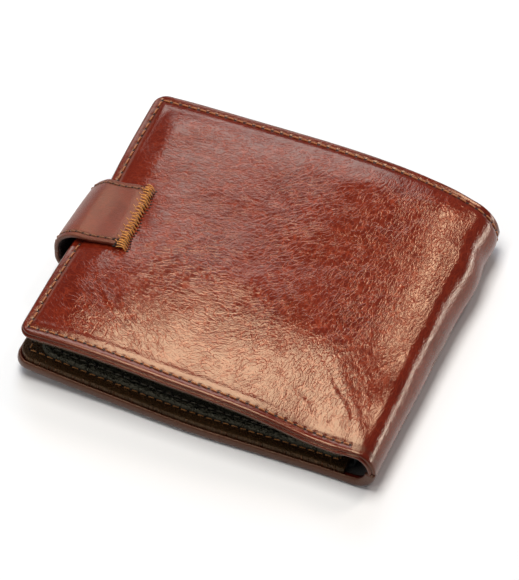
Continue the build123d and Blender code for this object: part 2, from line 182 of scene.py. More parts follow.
def settle(s, y):
    """How far the soft hide lies from its plain curve, along x, y and z.

    The upper cover sags along its near edge, rises at its far edge, is pulled down by the strap, is puffed
    inside its seams, and rolls off towards the spine. The spine leans inboard."""
    s, y = np.broadcast_arrays(np.asarray(s, float), np.asarray(y, float))
    on_dome = smooth((SPINE_MIDDLE - s) / 20)
    to_spine = smooth((s - 64) / 34)
    far = smooth((y + 5) / (HALF + 5))
    start = 8 + 24 * to_spine
    near_lid = smooth((-y - start) / (HALF - start))
    sag_near = -(NEAR_SAG + 1.5 * smooth((s - 12) / 36)) * near_lid * (1 - smooth((s - 80) / 22))
    rise_far = far * (FAR_RISE * smooth((s - 22) / 55) - 0.7)
    pinch = -STRAP_PINCH * hill(y, 0.6, 14) * (1 - smooth(s / 26))
    rounding = np.where(y < 0, 24.0 - 11.0 * to_spine, 15.0)
    puff = PUFF * (1 - smooth((np.abs(y) - HALF + rounding) / rounding) ** 2) * smooth(s / 12)
    roll_off = -ROLL_OFF * smooth((s - DOME_END + 15) / 26) * smooth((SPINE_END - s) / 14)
    corner_drop = -CORNER_DROP * smooth((s - 62) / 30) * smooth((-y - 12) / 20)
    dz = on_dome * (sag_near + rise_far + pinch + puff + corner_drop) + roll_off
    to_left = smooth((s - SPINE_END) / (HIDE.total - SPINE_END))
    near_base = smooth((s - SPINE_END) / 20) * smooth((-y - 8) / (HALF - 8))
    dz = dz - 1.0 * near_base * smooth((to_left - 0.25) / 0.75)
    dy = 0.45 * on_dome * smooth((y - HALF + 14) / 14)
    dy = dy - near_base * (1.3 * to_left + 0.9 * hill(to_left, 0.45, 0.3))
    dx = 0.9 * hill(y, 0, 26) * (1 - smooth(s / 18)) * on_dome
    dx = dx - 0.9 * near_base * smooth((to_left - 0.75) / 0.25)
    narrow = smooth((s - DOME_END + 10) / 18) * smooth((SPINE_END + 10 - s) / 18)
    wide = smooth((s - DOME_END + 28) / 26) * smooth((SPINE_END + 24 - s) / 22)
    turn = smooth((y - 8) / 30)
    inboard = -SPINE_SHIFT + 0.65 * hill(y, 24, 7) - 0.35 * hill(y, 33, 4) - 0.7 * smooth((y - 39) / 6)
    dx = dx + inboard * (narrow * (1 - turn) + wide * turn)
    return dx, dy, dz


def on_hide(s, y, depth):
    """Points of the hide's family of layers, at a depth below the leather's outer face."""
    at = HIDE.at(s)
    nx, nz = HIDE.inward(at)
    dx, dy, dz = settle(s, y)
    return np.stack([at[..., 0] + nx * depth + dx, y + dy, at[..., 1] + nz * depth + dz], -1)


# ---------------------------------------------------------------- noise
def lattice(ix, iy, seed):
    """A repeatable random gradient at each whole-number corner."""
    h = (ix * 374761393 + iy * 668265263 + seed * 974634777) & 0xFFFFFFFF
    h = ((h ^ (h >> 13)) * 1274126177) & 0xFFFFFFFF
    angle = (h & 0xFFFF) / 65536.0 * 2 * math.pi
    return np.cos(angle), np.sin(angle)


def noise(x, y, seed=0):
    """Gradient noise from about -1 to 1."""
    x0, y0 = np.floor(x).astype(np.int64), np.floor(y).astype(np.int64)
    fx, fy = x - x0, y - y0
    u, v = fx**3 * (fx * (fx * 6 - 15) + 10), fy**3 * (fy * (fy * 6 - 15) + 10)
    corners = []
    for cx, cy in ((0, 0), (1, 0), (0, 1), (1, 1)):
        gx, gy = lattice(x0 + cx, y0 + cy, seed)
        corners.append(gx * (fx - cx) + gy * (fy - cy))
    low = corners[0] * (1 - u) + corners[1] * u
    high = corners[2] * (1 - u) + corners[3] * u
    return 1.5 * (low * (1 - v) + high * v)


CREASE_ANGLES = (-32.0, 6.0, 48.0, 82.0)


def crease_weights(s, y):
    """How much of each crease direction there is at a point of the front cover."""
    turn = smooth((s - 34) / 46)
    fan = np.degrees(np.arctan2(y + 13, s + 6))
    angle = np.clip(fan * 0.9, -42, 22) * (1 - turn) + 82 * turn
    weights = [np.exp(-(((angle - a) / 20) ** 2)) for a in CREASE_ANGLES]
    total = sum(weights) + 1e-6
    return [w / total for w in weights]


def crease_strength(s, y):
    """How creased the hide is: less by the strap, along the seams and round the spine."""
    edge = smooth((s - 4) / 10) * smooth((HALF - 3 - np.abs(y)) / 5)
    calm = 1 - 0.55 * smooth((s - DOME_END + 5) / 7)
    return (0.4 + 0.6 * edge) * calm


def creases(s, y):
    """Height of the larger creases, in millimetres."""
    total = np.zeros(np.broadcast(s, y).shape)
    for i, (angle, weight) in enumerate(zip(CREASE_ANGLES, crease_weights(s, y))):
        a = math.radians(angle)
        along = s * math.cos(a) + y * math.sin(a)
        across = -s * math.sin(a) + y * math.cos(a)
        bend = 0.5 * noise(along / 12, across / 12, 11 + i)
        lines = 1 - np.abs(noise(along / 7.0, across / 1.8 + bend, 3 + i)) * 2.4
        fine = 1 - np.abs(noise(along / 4.0 + 7, across / 1.15 + bend, 23 + i)) * 2.2
        total -= weight * (0.021 * np.clip(lines, 0, 1) ** 1.5 + 0.007 * np.clip(fine, 0, 1))
    return total


def deep_creases(s, y):
    """The few long folds that fan out of the near corner of the front cover."""
    folds = (
        (19.0, -28.0, -38.0, 17.0, 0.20), (26.0, -31.0, -44.0, 13.0, 0.18),
        (13.0, -33.5, -24.0, 13.0, 0.16), (89.0, -34.0, 132.0, 15.0, 0.15),
        (83.0, -29.0, 128.0, 14.0, 0.12), (92.5, -30.0, 118.0, 15.0, 0.13),
        (80.0, -37.0, 146.0, 13.0, 0.13), (86.0, -37.5, 138.0, 12.0, 0.12),
    )
    total = np.zeros(np.broadcast(s, y).shape)
    for s0, y0, angle, length, height in folds:
        a = math.radians(angle)
        along = (s - s0) * math.cos(a) + (y - y0) * math.sin(a)
        across = -(s - s0) * math.sin(a) + (y - y0) * math.cos(a) - 0.02 * along**2
        ridge = hill(across, 0, 0.8) - 0.8 * hill(across, -1.4, 0.9)
        total += 0.6 * height * hill(along, 0, length / 2) * ridge
    return total


# ---------------------------------------------------------------- seams
def arc_of(points):
    """The running length at each corner of a polyline."""
    points = np.array(points, float)
    steps = np.hypot(*np.diff(points, axis=0).T)
    return np.concatenate([[0], np.cumsum(steps)])


def stitch_line(corners, pitch=STITCH_PITCH):
    """Needle holes spaced along a line through (s, y) corners."""
    lengths = arc_of(corners)
    count = max(2, int(round(lengths[-1] / pitch)))
    at = np.linspace(0, lengths[-1], count + 1)
    corners = np.array(corners, float)
    return np.stack([np.interp(at, lengths, corners[:, k]) for k in (0, 1)], -1)


NEAR_STOP = DOME_END - 3.2
SEAM_Y = HALF - SEAM_LINE
FRONT_SEAMS = [
    stitch_line([(NEAR_STOP, -SEAM_Y), (SEAM_LINE, -SEAM_Y)]),
    stitch_line([(SEAM_LINE, -SEAM_Y), (SEAM_LINE, -STRAP_HALF - 0.5)]),
    stitch_line([(SEAM_LINE, STRAP_HALF + 0.5), (SEAM_LINE, SEAM_Y)]),
    stitch_line([(SEAM_LINE, SEAM_Y), (SPINE_MIDDLE, SEAM_Y)]),
]
BACK_END = HIDE.total - SEAM_LINE
BACK_NEAR = SPINE_END + 2.0
BACK_SEAMS = [
    stitch_line([(BACK_NEAR, -SEAM_Y), (BACK_END, -SEAM_Y)]),
    stitch_line([(BACK_END, -SEAM_Y), (BACK_END, SEAM_Y)]),
    stitch_line([(BACK_END, SEAM_Y), (SPINE_MIDDLE, SEAM_Y)]),
]


def seam_distance(s, y, stop_near):
    """Distance of each point from the seam line, on whichever half it lies."""
    from_end = np.minimum(s, HIDE.total - s)
    straight = np.where((y < 0) & (from_end > stop_near), 99.0, HALF - np.abs(y))
    return np.abs(np.minimum(from_end, straight) - SEAM_LINE)


def hole_dimples(s, y, gap, reach, holes, width):
    """1 at each needle hole, fading to 0 away from it. Only points with gap under reach are looked at."""
    flat = np.stack([np.ravel(s), np.ravel(y)], -1)
    near = np.full(len(flat), 9.0)
    close = np.flatnonzero(np.ravel(gap) < reach)
    spots = np.concatenate(holes)
    for start in range(0, len(close), 4000):
        picked = close[start : start + 4000]
        near[picked] = np.hypot(*(flat[picked, None] - spots[None]).transpose(2, 0, 1)).min(1)
    return hill(near.reshape(np.shape(s)), 0, width)


def seam_relief(s, y, holes):
    """The stitched channel and its needle dimples, in millimetres."""
    gap = seam_distance(s, y, DOME_END - 2.6)
    channel = -0.22 * hill(gap, 0, 0.7) + 0.06 * hill(gap, 1.7, 0.8)
    return channel - 0.16 * hole_dimples(s, y, gap, 1.2, holes, 0.45)


def front_relief(s, y):
    """Everything that stands up from or sinks into the front half of the hide."""
    broad = 0.16 * noise(s / 17, y / 17, 41) + 0.07 * noise(s / 7, y / 7, 42)
    inside = smooth((np.minimum(s, HALF - np.abs(y)) - SEAM_LINE - 1) / 6)
    under_strap = smooth((STRAP_HALF + 3 - np.abs(y)) / 3) * smooth((18 - s) / 3)
    loose = crease_strength(s, y) * creases(s, y) + inside * (broad + deep_creases(s, y))
    return loose * (1 - 0.9 * under_strap) + seam_relief(s, y, FRONT_SEAMS)


def back_relief(s, y):
    """The back half is pressed flat and only lightly creased."""
    inside = smooth((np.minimum(HIDE.total - s, HALF - np.abs(y)) - SEAM_LINE - 1) / 6)
    broad = 0.05 * noise(s / 15, y / 15, 51)
    loose = 0.5 * crease_strength(HIDE.total - s, y) * creases(HIDE.total - s, y)
    return loose + inside * broad + seam_relief(s, y, BACK_SEAMS)


# ---------------------------------------------------------------- mesh building
def make_object(name, vertices, faces, materials, attributes=None, smooth_faces=True, material_index=None):
    """A mesh object from millimetre points."""
    mesh = bpy.data.meshes.new(name)
    mesh.from_pydata((np.asarray(vertices) * MM).tolist(), [], faces)
    if attributes:
        for key, values in attributes.items():
            layer = mesh.attributes.new(key, "FLOAT_VECTOR", "POINT")
            layer.data.foreach_set("vector", np.asarray(values, np.float32).ravel())
    for material in materials:
        mesh.materials.append(material)
    if material_index is not None:
        mesh.polygons.foreach_set("material_index", np.asarray(material_index, np.int32))
    mesh.polygons.foreach_set("use_smooth", np.full(len(mesh.polygons), smooth_faces))
    mesh.update()
    obj = bpy.data.objects.new(name, mesh)
    bpy.context.scene.collection.objects.link(obj)
    return obj


def plan_grid(s_range, y_range, counts, corner_low, corner_high):
    """A grid over a rectangle whose corners are rounded at its low-s and high-s sides."""
    s = np.linspace(*s_range, counts[0] + 1)[:, None] * np.ones((1, counts[1] + 1))
    y = np.linspace(*y_range, counts[1] + 1)[None, :] * np.ones((counts[0] + 1, 1))
    new_s, new_y = s.copy(), y.copy()
    ways = np.zeros(s.shape + (2,))
    ways[0, :, 0] = -1
    ways[-1, :, 0] = 1
    ways[:, 0, 1] = -1
    ways[:, -1, 1] = 1
    for radius, s_edge, sign_s in ((corner_low, s_range[0], -1), (corner_high, s_range[1], 1)):
        for y_edge, sign_y in ((y_range[0], -1), (y_range[1], 1)):
            if radius <= 0:
                continue
            cs, cy = s_edge - sign_s * radius, y_edge - sign_y * radius
            a, b = (s - cs) * sign_s, (y - cy) * sign_y
            here = (a > 0) & (b > 0)
            r = np.maximum(a, b)[here]
            angle = np.where(a >= b, b / np.maximum(a, 1e-9), 2 - a / np.maximum(b, 1e-9))[here] * math.pi / 4
            new_s[here] = cs + sign_s * r * np.cos(angle)
            new_y[here] = cy + sign_y * r * np.sin(angle)
            ways[here] = np.stack([sign_s * np.cos(angle), sign_y * np.sin(angle)], -1)
    return new_s, new_y, ways


def loop_of(counts):
    """The grid's boundary, once round, as index pairs."""
    n, m = counts
    pairs = [(i, 0) for i in range(n)] + [(n, j) for j in range(m)]
    pairs += [(i, m) for i in range(n, 0, -1)] + [(0, j) for j in range(m, 0, -1)]
    return np.array(pairs)


def no_relief(s, y):
    return np.zeros(np.shape(s))


def shell(
    name, s_range, y_range, step, profile, corners, material, place=on_hide, relief=no_relief,
    open_low=False, open_high=False, open_far=False, edge_relief=None,
):
    """A closed sheet with shaped edges.

    place(s, y, depth) gives its points. profile is a list of (outward, depth) pairs from the top's edge to
    the underside's edge, where outward is 0 at the sheet's outline. An open side is cut off flat, to meet
    its neighbour, and the far side keeps no deeper rim if open_far. The underside has a quarter of the
    top's points each way."""
    inset, top = -profile[0][0], profile[0][1]
    under_inset, bottom = -profile[-1][0], profile[-1][1]
    facing = 1.0 if bottom > top else -1.0
    s_low, s_high = s_range
    fine_s = (s_low + (0 if open_low else inset), s_high - (0 if open_high else inset))
    fine_y = (y_range[0] + inset, y_range[1] - inset)
    counts = tuple(4 * max(1, round((b - a) / step / 4)) for a, b in (fine_s, fine_y))
    radii = [0 if cut else max(r - inset, 0) for r, cut in zip(corners, (open_low, open_high))]
    s, y, ways = plan_grid(fine_s, fine_y, counts, *radii)
    height = facing * relief(s, y)
    points = [place(s, y, top - height).reshape(-1, 3)]
    coords = [np.stack([s, y, np.zeros_like(s)], -1).reshape(-1, 3)]
    faces = []
    wide = counts[1] + 1
    for i in range(counts[0]):
        row = i * wide
        faces += [(row + j, row + wide + j, row + wide + j + 1, row + j + 1) for j in range(counts[1])]
    loop = loop_of(counts)
    loop_s, loop_y = s[loop[:, 0], loop[:, 1]], y[loop[:, 0], loop[:, 1]]
    way = ways[loop[:, 0], loop[:, 1]].copy()
    rim_height = height[loop[:, 0], loop[:, 1]]
    cut = np.zeros(len(loop), bool)
    for is_open, index in ((open_low, 0), (open_high, counts[0])):
        if is_open:
            at_cut = loop[:, 0] == index
            way[at_cut, 0] = 0
            cut |= at_cut & (np.abs(way[:, 1]) < 0.5)
            way[at_cut & cut] = 0
    ring = loop[:, 0] * wide + loop[:, 1]
    count = len(ring)
    total = len(points[0])
    last = ring
    for k, (outward, depth) in enumerate(profile[1:], 1):
        share = k / (len(profile) - 1)
        grown = outward + inset
        new_s, new_y = loop_s + way[:, 0] * grown, loop_y + way[:, 1] * grown
        deep = np.where(cut, top + (bottom - top) * share, depth)
        if open_far:
            deep = np.where(way[:, 1] > 0.6, facing * np.minimum(facing * deep, facing * bottom), deep)
        fade = np.where(cut, 1 - share, max(0.0, 1 - abs(grown) / max(inset, 1e-6)))
        extra = edge_relief(new_s, new_y, k) if edge_relief is not None else 0.0
        points.append(place(new_s, new_y, deep - rim_height * fade - extra * (1 - cut)))
        coords.append(np.stack([new_s, new_y, np.full(count, outward + 1.0)], -1))
        new = total + np.arange(count)
        total += count
        for a in range(count):
            b = (a + 1) % count
            faces.append((last[b], last[a], new[a], new[b]))
        last = new
    rough = tuple(c // 4 for c in counts)
    low_s = (s_low + (0 if open_low else under_inset), s_high - (0 if open_high else under_inset))
    low_y = (y_range[0] + under_inset, y_range[1] - under_inset)
    inner = [0 if is_cut else max(r - under_inset, 0) for r, is_cut in zip(corners, (open_low, open_high))]
    grid_s, grid_y, _ = plan_grid(low_s, low_y, rough, *inner)
    grid_s, grid_y = grid_s[1:-1, 1:-1], grid_y[1:-1, 1:-1]
    points.append(place(grid_s, grid_y, np.full(grid_s.shape, bottom)).reshape(-1, 3))
    coords.append(np.stack([grid_s, grid_y, np.full(grid_s.shape, 3.0)], -1).reshape(-1, 3))
    tall = rough[1] - 1
    ids = total + np.arange(grid_s.size).reshape(rough[0] - 1, tall)
    for i in range(rough[0] - 2):
        for j in range(tall - 1):
            faces.append((ids[i, j], ids[i, j + 1], ids[i + 1, j + 1], ids[i + 1, j]))
    position = {tuple(p): k for k, p in enumerate(loop_of(counts).tolist())}

    def rim_at(i, j):
        return last[position[(i, j)]]

    def inner_at(i, j):
        return ids[min(max(i - 1, 0), rough[0] - 2), min(max(j - 1, 0), tall - 1)]

    rough_loop = loop_of(rough)
    for k, (i, j) in enumerate(rough_loop):
        i2, j2 = rough_loop[(k + 1) % len(rough_loop)]
        fine = []
        for t in range(5):
            a, b = i * 4 + (i2 - i) * t, j * 4 + (j2 - j) * t
            fine.append(rim_at(a, b))
        inside = [inner_at(i2, j2), inner_at(i, j)]
        if inside[0] == inside[1]:
            inside = inside[:1]
        polygon = fine[::-1] + inside[::-1]
        faces.append(tuple(int(v) for v in polygon))
    if facing < 0:
        faces = [face[::-1] for face in faces]
    made = make_object(name, np.concatenate(points), faces, [material], {"hide": np.concatenate(coords)})
    if open_low or open_high:

        def surface(a, b):
            return place(a, b, top - facing * relief(a, b))

        join_normals(made, surface, s.ravel(), y.ravel(), facing)
    return made


def join_normals(obj, surface, s, y, facing):
    """Gives the top the surface's own normals, so that two meshes join without a line."""
    reach = 0.05
    across = surface(s + reach, y) - surface(s - reach, y)
    along = surface(s, y + reach) - surface(s, y - reach)
    normal = facing * np.cross(along, across)
    normal /= np.linalg.norm(normal, axis=1)[:, None]
    flat = np.zeros(len(obj.data.vertices) * 3, np.float32)
    obj.data.vertices.foreach_get("normal", flat)
    flat = flat.reshape(-1, 3)
    normal *= np.sign((flat[: len(normal)] * normal).sum(1).mean())
    flat[: len(normal)] = normal
    obj.data.normals_split_custom_set_from_vertices(flat.tolist())


ROLLED_EDGE = [
    (-1.15, 0.0), (-0.88, 0.05), (-0.62, 0.18), (-0.46, 0.40), (-0.42, 0.62), (-0.48, 0.80), (-0.62, 0.90),
    (-0.50, 0.98), (-0.26, 1.05), (-0.08, 1.20), (0.0, 1.42), (-0.02, 1.68), (-0.12, 1.90), (-0.36, 2.04),
    (-0.8, 2.06), (-1.7, 2.04), (-1.9, 1.7), (-2.0, LEATHER),
]
TURNED_LIP = [
    (-0.9, 0.0), (-0.5, 0.06), (-0.2, 0.24), (-0.03, 0.6), (0.0, 1.1), (-0.03, 1.7), (-0.1, 2.3),
    (-0.24, 2.72), (-0.42, 2.9), (-0.62, 2.95), (-0.82, 2.86), (-0.98, 2.6), (-1.1, 2.3), (-1.5, 2.1),
    (-2.2, 2.06), (-2.4, 1.7), (-2.5, LEATHER),
]


def soft_profile(seen, hidden, roll=0.3):
    """A rounded edge for an inner sheet, from its seen face to its hidden one."""
    sign = 1.0 if hidden > seen else -1.0
    r = min(roll, abs(hidden - seen) / 2)
    return [
        (-2 * r, seen), (-r, seen + sign * 0.06 * r), (-0.3 * r, seen + sign * 0.35 * r),
        (0.0, seen + sign * r), (0.0, hidden - sign * r), (-0.3 * r, hidden - sign * 0.35 * r),
        (-r, hidden - sign * 0.06 * r), (-2 * r, hidden),
    ]


# ---------------------------------------------------------------- materials
class Look:
    """A new material, with short ways to add its nodes."""

    def __init__(self, name):
        self.made = bpy.data.materials.new(name)
        self.made.use_nodes = True
        self.tree = self.made.node_tree

    def give(self, socket, value):
        """Sets a socket, or links another one to it."""
        if isinstance(value, bpy.types.NodeSocket):
            self.tree.links.new(value, socket)
        else:
            socket.default_value = value

    def node(self, kind, **values):
        """A node, with its properties (the names with a leading _) and its inputs."""
        made = self.tree.nodes.new("ShaderNode" + kind)
        for key, value in values.items():
            if key.startswith("_"):
                setattr(made, key[1:], value)
            else:
                self.give(made.inputs[key.replace("_", " ")], value)
        return made

    def shade(self, **values):
        """Sets or links the shader's own sockets, and gives the finished material."""
        for key, value in values.items():
            self.give(self.tree.nodes["Principled BSDF"].inputs[key.replace("_", " ")], value)
        return self.made

    def place(self, attribute="hide"):
        """A surface attribute; hide holds the piece's own coordinates in millimetres."""
        return self.node("Attribute", _attribute_name=attribute, _attribute_type="GEOMETRY").outputs["Vector"]

    def pair(self, kind, operation, a, b, **values):
        """A node with two unnamed inputs."""
        made = self.node(kind, _operation=operation, **values)
        self.give(made.inputs[0], a)
        self.give(made.inputs[1], b)
        return made.outputs[0]

    def add(self, a, b):
        return self.pair("Math", "ADD", a, b)

    def times(self, a, b, clamp=False):
        return self.pair("Math", "MULTIPLY", a, b, _use_clamp=clamp)

    def turned(self, vector, turn, scale):
        """Turned, then scaled coordinates."""
        made = self.node("Mapping", _vector_type="POINT", Rotation=(0, 0, -math.radians(turn)), Vector=vector)
        return self.pair("VectorMath", "MULTIPLY", made.outputs[0], scale)

    def noise(self, vector, scale, detail=2.0, roughness=0.5):
        made = self.node("TexNoise", Scale=scale, Detail=detail, Roughness=roughness, Vector=vector)
        return made.outputs["Fac"]

    def cells(self, vector, scale, width):
        """Thin lines between cells: 1 on a line and 0 inside a cell."""
        made = self.node("TexVoronoi", Scale=scale, _feature="DISTANCE_TO_EDGE", Vector=vector)
        gap = made.outputs["Distance"]
        away = {"From_Min": 0.0, "From_Max": width, "To_Min": 1.0, "To_Max": 0.0, "Value": gap}
        return self.node("MapRange", _interpolation_type="SMOOTHSTEP", **away).outputs["Result"]

    def ramp(self, source, *stops):
        """A colour ramp on a 0 to 1 value."""
        made = self.node("ValToRGB", Fac=source)
        elements = made.color_ramp.elements
        while len(elements) < len(stops):
            elements.new(0.5)
        for element, (position, colour) in zip(elements, stops):
            element.position = position
            element.color = (*colour, 1)
        return made.outputs["Color"]

    def mix(self, a, b, factor, blend="MIX"):
        made = self.node("Mix", _data_type="RGBA", _blend_type=blend, A=a, B=b, Factor=factor)
        return made.outputs["Result"]

    def bump(self, height, distance, **more):
        return self.node("Bump", Strength=1.0, Distance=distance, Height=height, **more).outputs["Normal"]


def hide_material(name, base_rough, grain_depth, glint):
    """Chestnut hide: a net of fine creases that follows the way the leather pulls."""
    look = Look(name)
    place = look.place()
    pull = look.node("SeparateXYZ", Vector=look.place("pull")).outputs
    strength, last_pull, worn = look.node("SeparateXYZ", Vector=look.place("calm")).outputs
    warp = look.node("TexNoise", Scale=0.16, Vector=place).outputs["Color"]
    centred = look.pair("VectorMath", "SUBTRACT", warp, (0.5, 0.5, 0.5))
    wander = look.pair("VectorMath", "MULTIPLY", centred, (3.6, 3.6, 3.6))
    warped = look.pair("VectorMath", "ADD", place, wander)
    net = None
    for angle, share in zip(CREASE_ANGLES, (*pull, last_pull)):
        lines = look.cells(look.turned(warped, angle, (0.34, 1.0, 1.0)), 0.98, 0.15)
        fine = look.cells(look.turned(warped, angle + 10, (0.48, 1.0, 1.0)), 2.1, 0.26)
        part = look.times(look.add(look.times(lines, 0.75), look.times(fine, 0.42)), share)
        net = part if net is None else look.add(net, part)
    broken = look.noise(place, 0.35, 4.0, 0.6)
    patch = look.ramp(broken, (0.36, (0.45, 0.45, 0.45)), (0.60, (1, 1, 1)))
    net = look.times(look.times(net, patch), strength)
    pores = look.noise(place, 3.6, 4.0, 0.65)
    cloud = look.noise(place, 0.06, 3.0, 0.55)
    deep, middle, pale = (0.080, 0.0054, 0.0027), (0.106, 0.0082, 0.0038), (0.140, 0.013, 0.0058)
    tone = look.ramp(cloud, (0.25, deep), (0.5, middle), (0.78, pale))
    # The crease net is painted lighter: partly the pull-up colour of creased leather, partly a painted glint
    # on the crease ridges.
    light = look.mix(tone, (0.47, 0.062, 0.018, 1), look.times(net, 0.40, clamp=True))
    pitted = look.ramp(pores, (0.36, (0.55, 0.48, 0.45)), (0.58, (1, 1, 1)))
    dark = look.mix(light, pitted, 0.55, "MULTIPLY")
    # Painted shade: darker in the seam channel and on the rim, most on the back half's rim under the front
    # cover. worn also roughens these places below.
    colour = look.mix(dark, (0.040, 0.0085, 0.0045, 1), look.times(worn, 0.85, clamp=True))
    rough = look.add(look.times(broken, 0.09), look.times(net, 0.04))
    rough = look.add(look.add(rough, look.times(worn, 0.18)), base_rough)
    first = look.bump(look.times(net, -1.0), 0.000042)
    grain = look.times(pores, look.add(look.times(worn, 4.0), 1.0))
    return look.shade(
        Base_Color=colour, Roughness=rough, Specular_IOR_Level=glint, Specular_Tint=(1.0, 0.74, 0.50, 1),
        Sheen_Weight=0.03, Sheen_Roughness=0.22, Normal=look.bump(grain, grain_depth, Normal=first),
    )


def plain_leather(name, dark, light, scale=1.2, rough=0.42, depth=0.00012, tint=(1, 1, 1), glint=0.5):
    """Pebbled inner leather: rounded grains, with painted shade in the valleys between them."""
    look = Look(name)
    place = look.place()
    uneven = look.noise(place, 0.8, 2.0)
    wide = look.pair("VectorMath", "MULTIPLY", place, (0.8, 1.0, 1.0))
    valleys = look.cells(wide, scale, 0.45)
    small = look.cells(wide, scale * 2.3, 0.40)
    grain = look.noise(place, 3.2, 3.0, 0.6)
    mixed = look.add(look.times(look.noise(place, 0.12, 2.0), 0.35), look.times(grain, 0.65))
    tone = look.ramp(mixed, (0.36, dark), (0.64, light))
    rougher = look.add(look.times(uneven, 0.3), look.times(valleys, 0.3))
    height = look.add(look.add(look.times(valleys, -1.0), look.times(small, -0.35)), look.times(grain, 0.5))
    # The valleys between the grains are painted darker, as shade.
    return look.shade(
        Base_Color=look.mix(tone, (*(c * 0.3 for c in dark), 1), look.times(valleys, 0.8)),
        Roughness=look.add(rougher, rough - 0.15), Normal=look.bump(height, depth),
        Specular_IOR_Level=glint, Specular_Tint=(*tint, 1),
    )


def lining_material():
    """Fine black woven lining."""
    look = Look("woven_lining")
    place = look.place()
    wave = {"Scale": 1.6, "Distortion": 0.6, "Detail": 1.0, "Vector": place}
    warp, weft = (look.node("TexWave", _bands_direction=way, **wave).outputs["Fac"] for way in "XY")
    weave = look.times(warp, weft)
    return look.shade(
        Base_Color=look.ramp(weave, (0.0, (0.006, 0.005, 0.005)), (1.0, (0.035, 0.030, 0.026))),
        Roughness=look.add(look.times(weave, 0.2), 0.5), Normal=look.bump(weave, 0.00008), Sheen_Weight=0.2,
    )


def thread_material(name, dark, light):
    """Twisted sewing thread: its ply is painted from dark to light, as shade in the twist's grooves and
    highlight on its crowns.
    """
    look = Look(name)
    place = look.place("twist")
    wave = {"Scale": 1.1, "Distortion": 0.4, "Detail": 1.0, "Vector": place}
    ply = look.node("TexWave", _bands_direction="DIAGONAL", **wave)
    fuzz = look.noise(place, 4.0, 3.0, 0.7)
    shade = look.add(look.times(ply.outputs["Fac"], 0.6), look.times(fuzz, 0.5))
    return look.shade(
        Base_Color=look.ramp(shade, (0.2, dark), (0.85, light)),
        Roughness=look.add(look.times(fuzz, 0.2), 0.42), Normal=look.bump(shade, 0.00006),
        Sheen_Weight=0.25,
    )


def hole_material():
    """The inside of a needle hole, painted dark as shade."""
    look = Look("needle_hole")
    grain = look.noise(look.place("twist"), 2.0)
    colour = look.ramp(grain, (0.3, (0.004, 0.002, 0.001)), (0.7, (0.02, 0.008, 0.005)))
    return look.shade(Base_Color=colour, Roughness=0.9)


def metal_material(name, dark, light):
    """Worn plated metal."""
    look = Look(name)
    worn = look.noise(look.node("TexCoord").outputs["Object"], 900, 4.0, 0.6)
    rough = look.add(look.times(worn, 0.3), 0.15)
    return look.shade(Base_Color=look.ramp(worn, (0.35, dark), (0.65, light)), Roughness=rough, Metallic=1.0)


def board_material():
    """Pressed leather-fibre board."""
    look = Look("fibre_board")
    fibre = look.noise(look.node("TexCoord").outputs["Object"], 1500, 5.0, 0.7)
    return look.shade(
        Base_Color=look.ramp(fibre, (0.3, (0.16, 0.10, 0.06)), (0.7, (0.34, 0.25, 0.16))),
        Roughness=look.add(look.times(fibre, 0.2), 0.7), Normal=look.bump(fibre, 0.00005),
    )


def window_material():
    """Clear flexible plastic with faint scuffs."""
    look = Look("clear_plastic")
    place = look.place()
    return look.shade(
        Roughness=look.add(look.times(look.noise(place, 0.6, 5.0, 0.7), 0.12), 0.04),
        Normal=look.bump(look.noise(place, 0.08, 1.0), 0.0004), Base_Color=(0.9, 0.93, 0.93, 1), Alpha=0.22,
        Specular_IOR_Level=0.6,
    )


CHESTNUT = hide_material("chestnut_hide", 0.07, 0.000016, 0.64)
STRAP_HIDE = hide_material("strap_hide", 0.28, 0.00012, 0.95)
STRAP_LINING = plain_leather(
    "strap_lining", (0.020, 0.006, 0.004), (0.045, 0.014, 0.009), 1.6, 0.55, glint=0.3
)
POCKET = plain_leather(
    "pocket_leather", (0.014, 0.004, 0.002), (0.070, 0.020, 0.006), 1.3, 0.22, 0.0006, (1.0, 0.60, 0.26), 0.75
)
BLACK = plain_leather(
    "black_leather", (0.002, 0.002, 0.0016), (0.008, 0.007, 0.0045), 0.8, 0.18, 0.0009,
    tint=(1.0, 0.93, 0.64), glint=0.75,
)
PATENT = plain_leather(
    "glossy_black", (0.003, 0.004, 0.004), (0.010, 0.013, 0.013), 0.4, 0.20, 0.00003, glint=0.9
)
LINING = lining_material()
THREAD = thread_material("seam_thread", (0.09, 0.020, 0.005), (0.55, 0.17, 0.03))
TACK_THREAD = thread_material("tack_thread", (0.11, 0.026, 0.004), (1.0, 0.41, 0.055))
HOLES = hole_material()
BRASS = metal_material("antique_brass", (0.20, 0.13, 0.06), (0.50, 0.37, 0.18))
STEEL = metal_material("spring_steel", (0.45, 0.45, 0.44), (0.72, 0.72, 0.70))
BOARD = board_material()
WINDOW = window_material()


# ---------------------------------------------------------------- the outer hide
def hide_coords(mesh):
    """Each vertex's (s, y, rim) coordinates."""
    coords = np.zeros(len(mesh.vertices) * 3, np.float32)
    mesh.attributes["hide"].data.foreach_get("vector", coords)
    return coords.reshape(-1, 3)


def store_pull(mesh, weights, strength, rim, worn):
    """Stores the crease directions, crease strength, and the wear and painted shade that the hide's material
    reads.
    """
    for key, values in (("pull", weights[:3]), ("calm", (strength * (1 - 0.6 * rim), weights[3], worn))):
        layer = mesh.attributes.new(key, "FLOAT_VECTOR", "POINT")
        layer.data.foreach_set("vector", np.stack(values, -1).astype(np.float32).ravel())


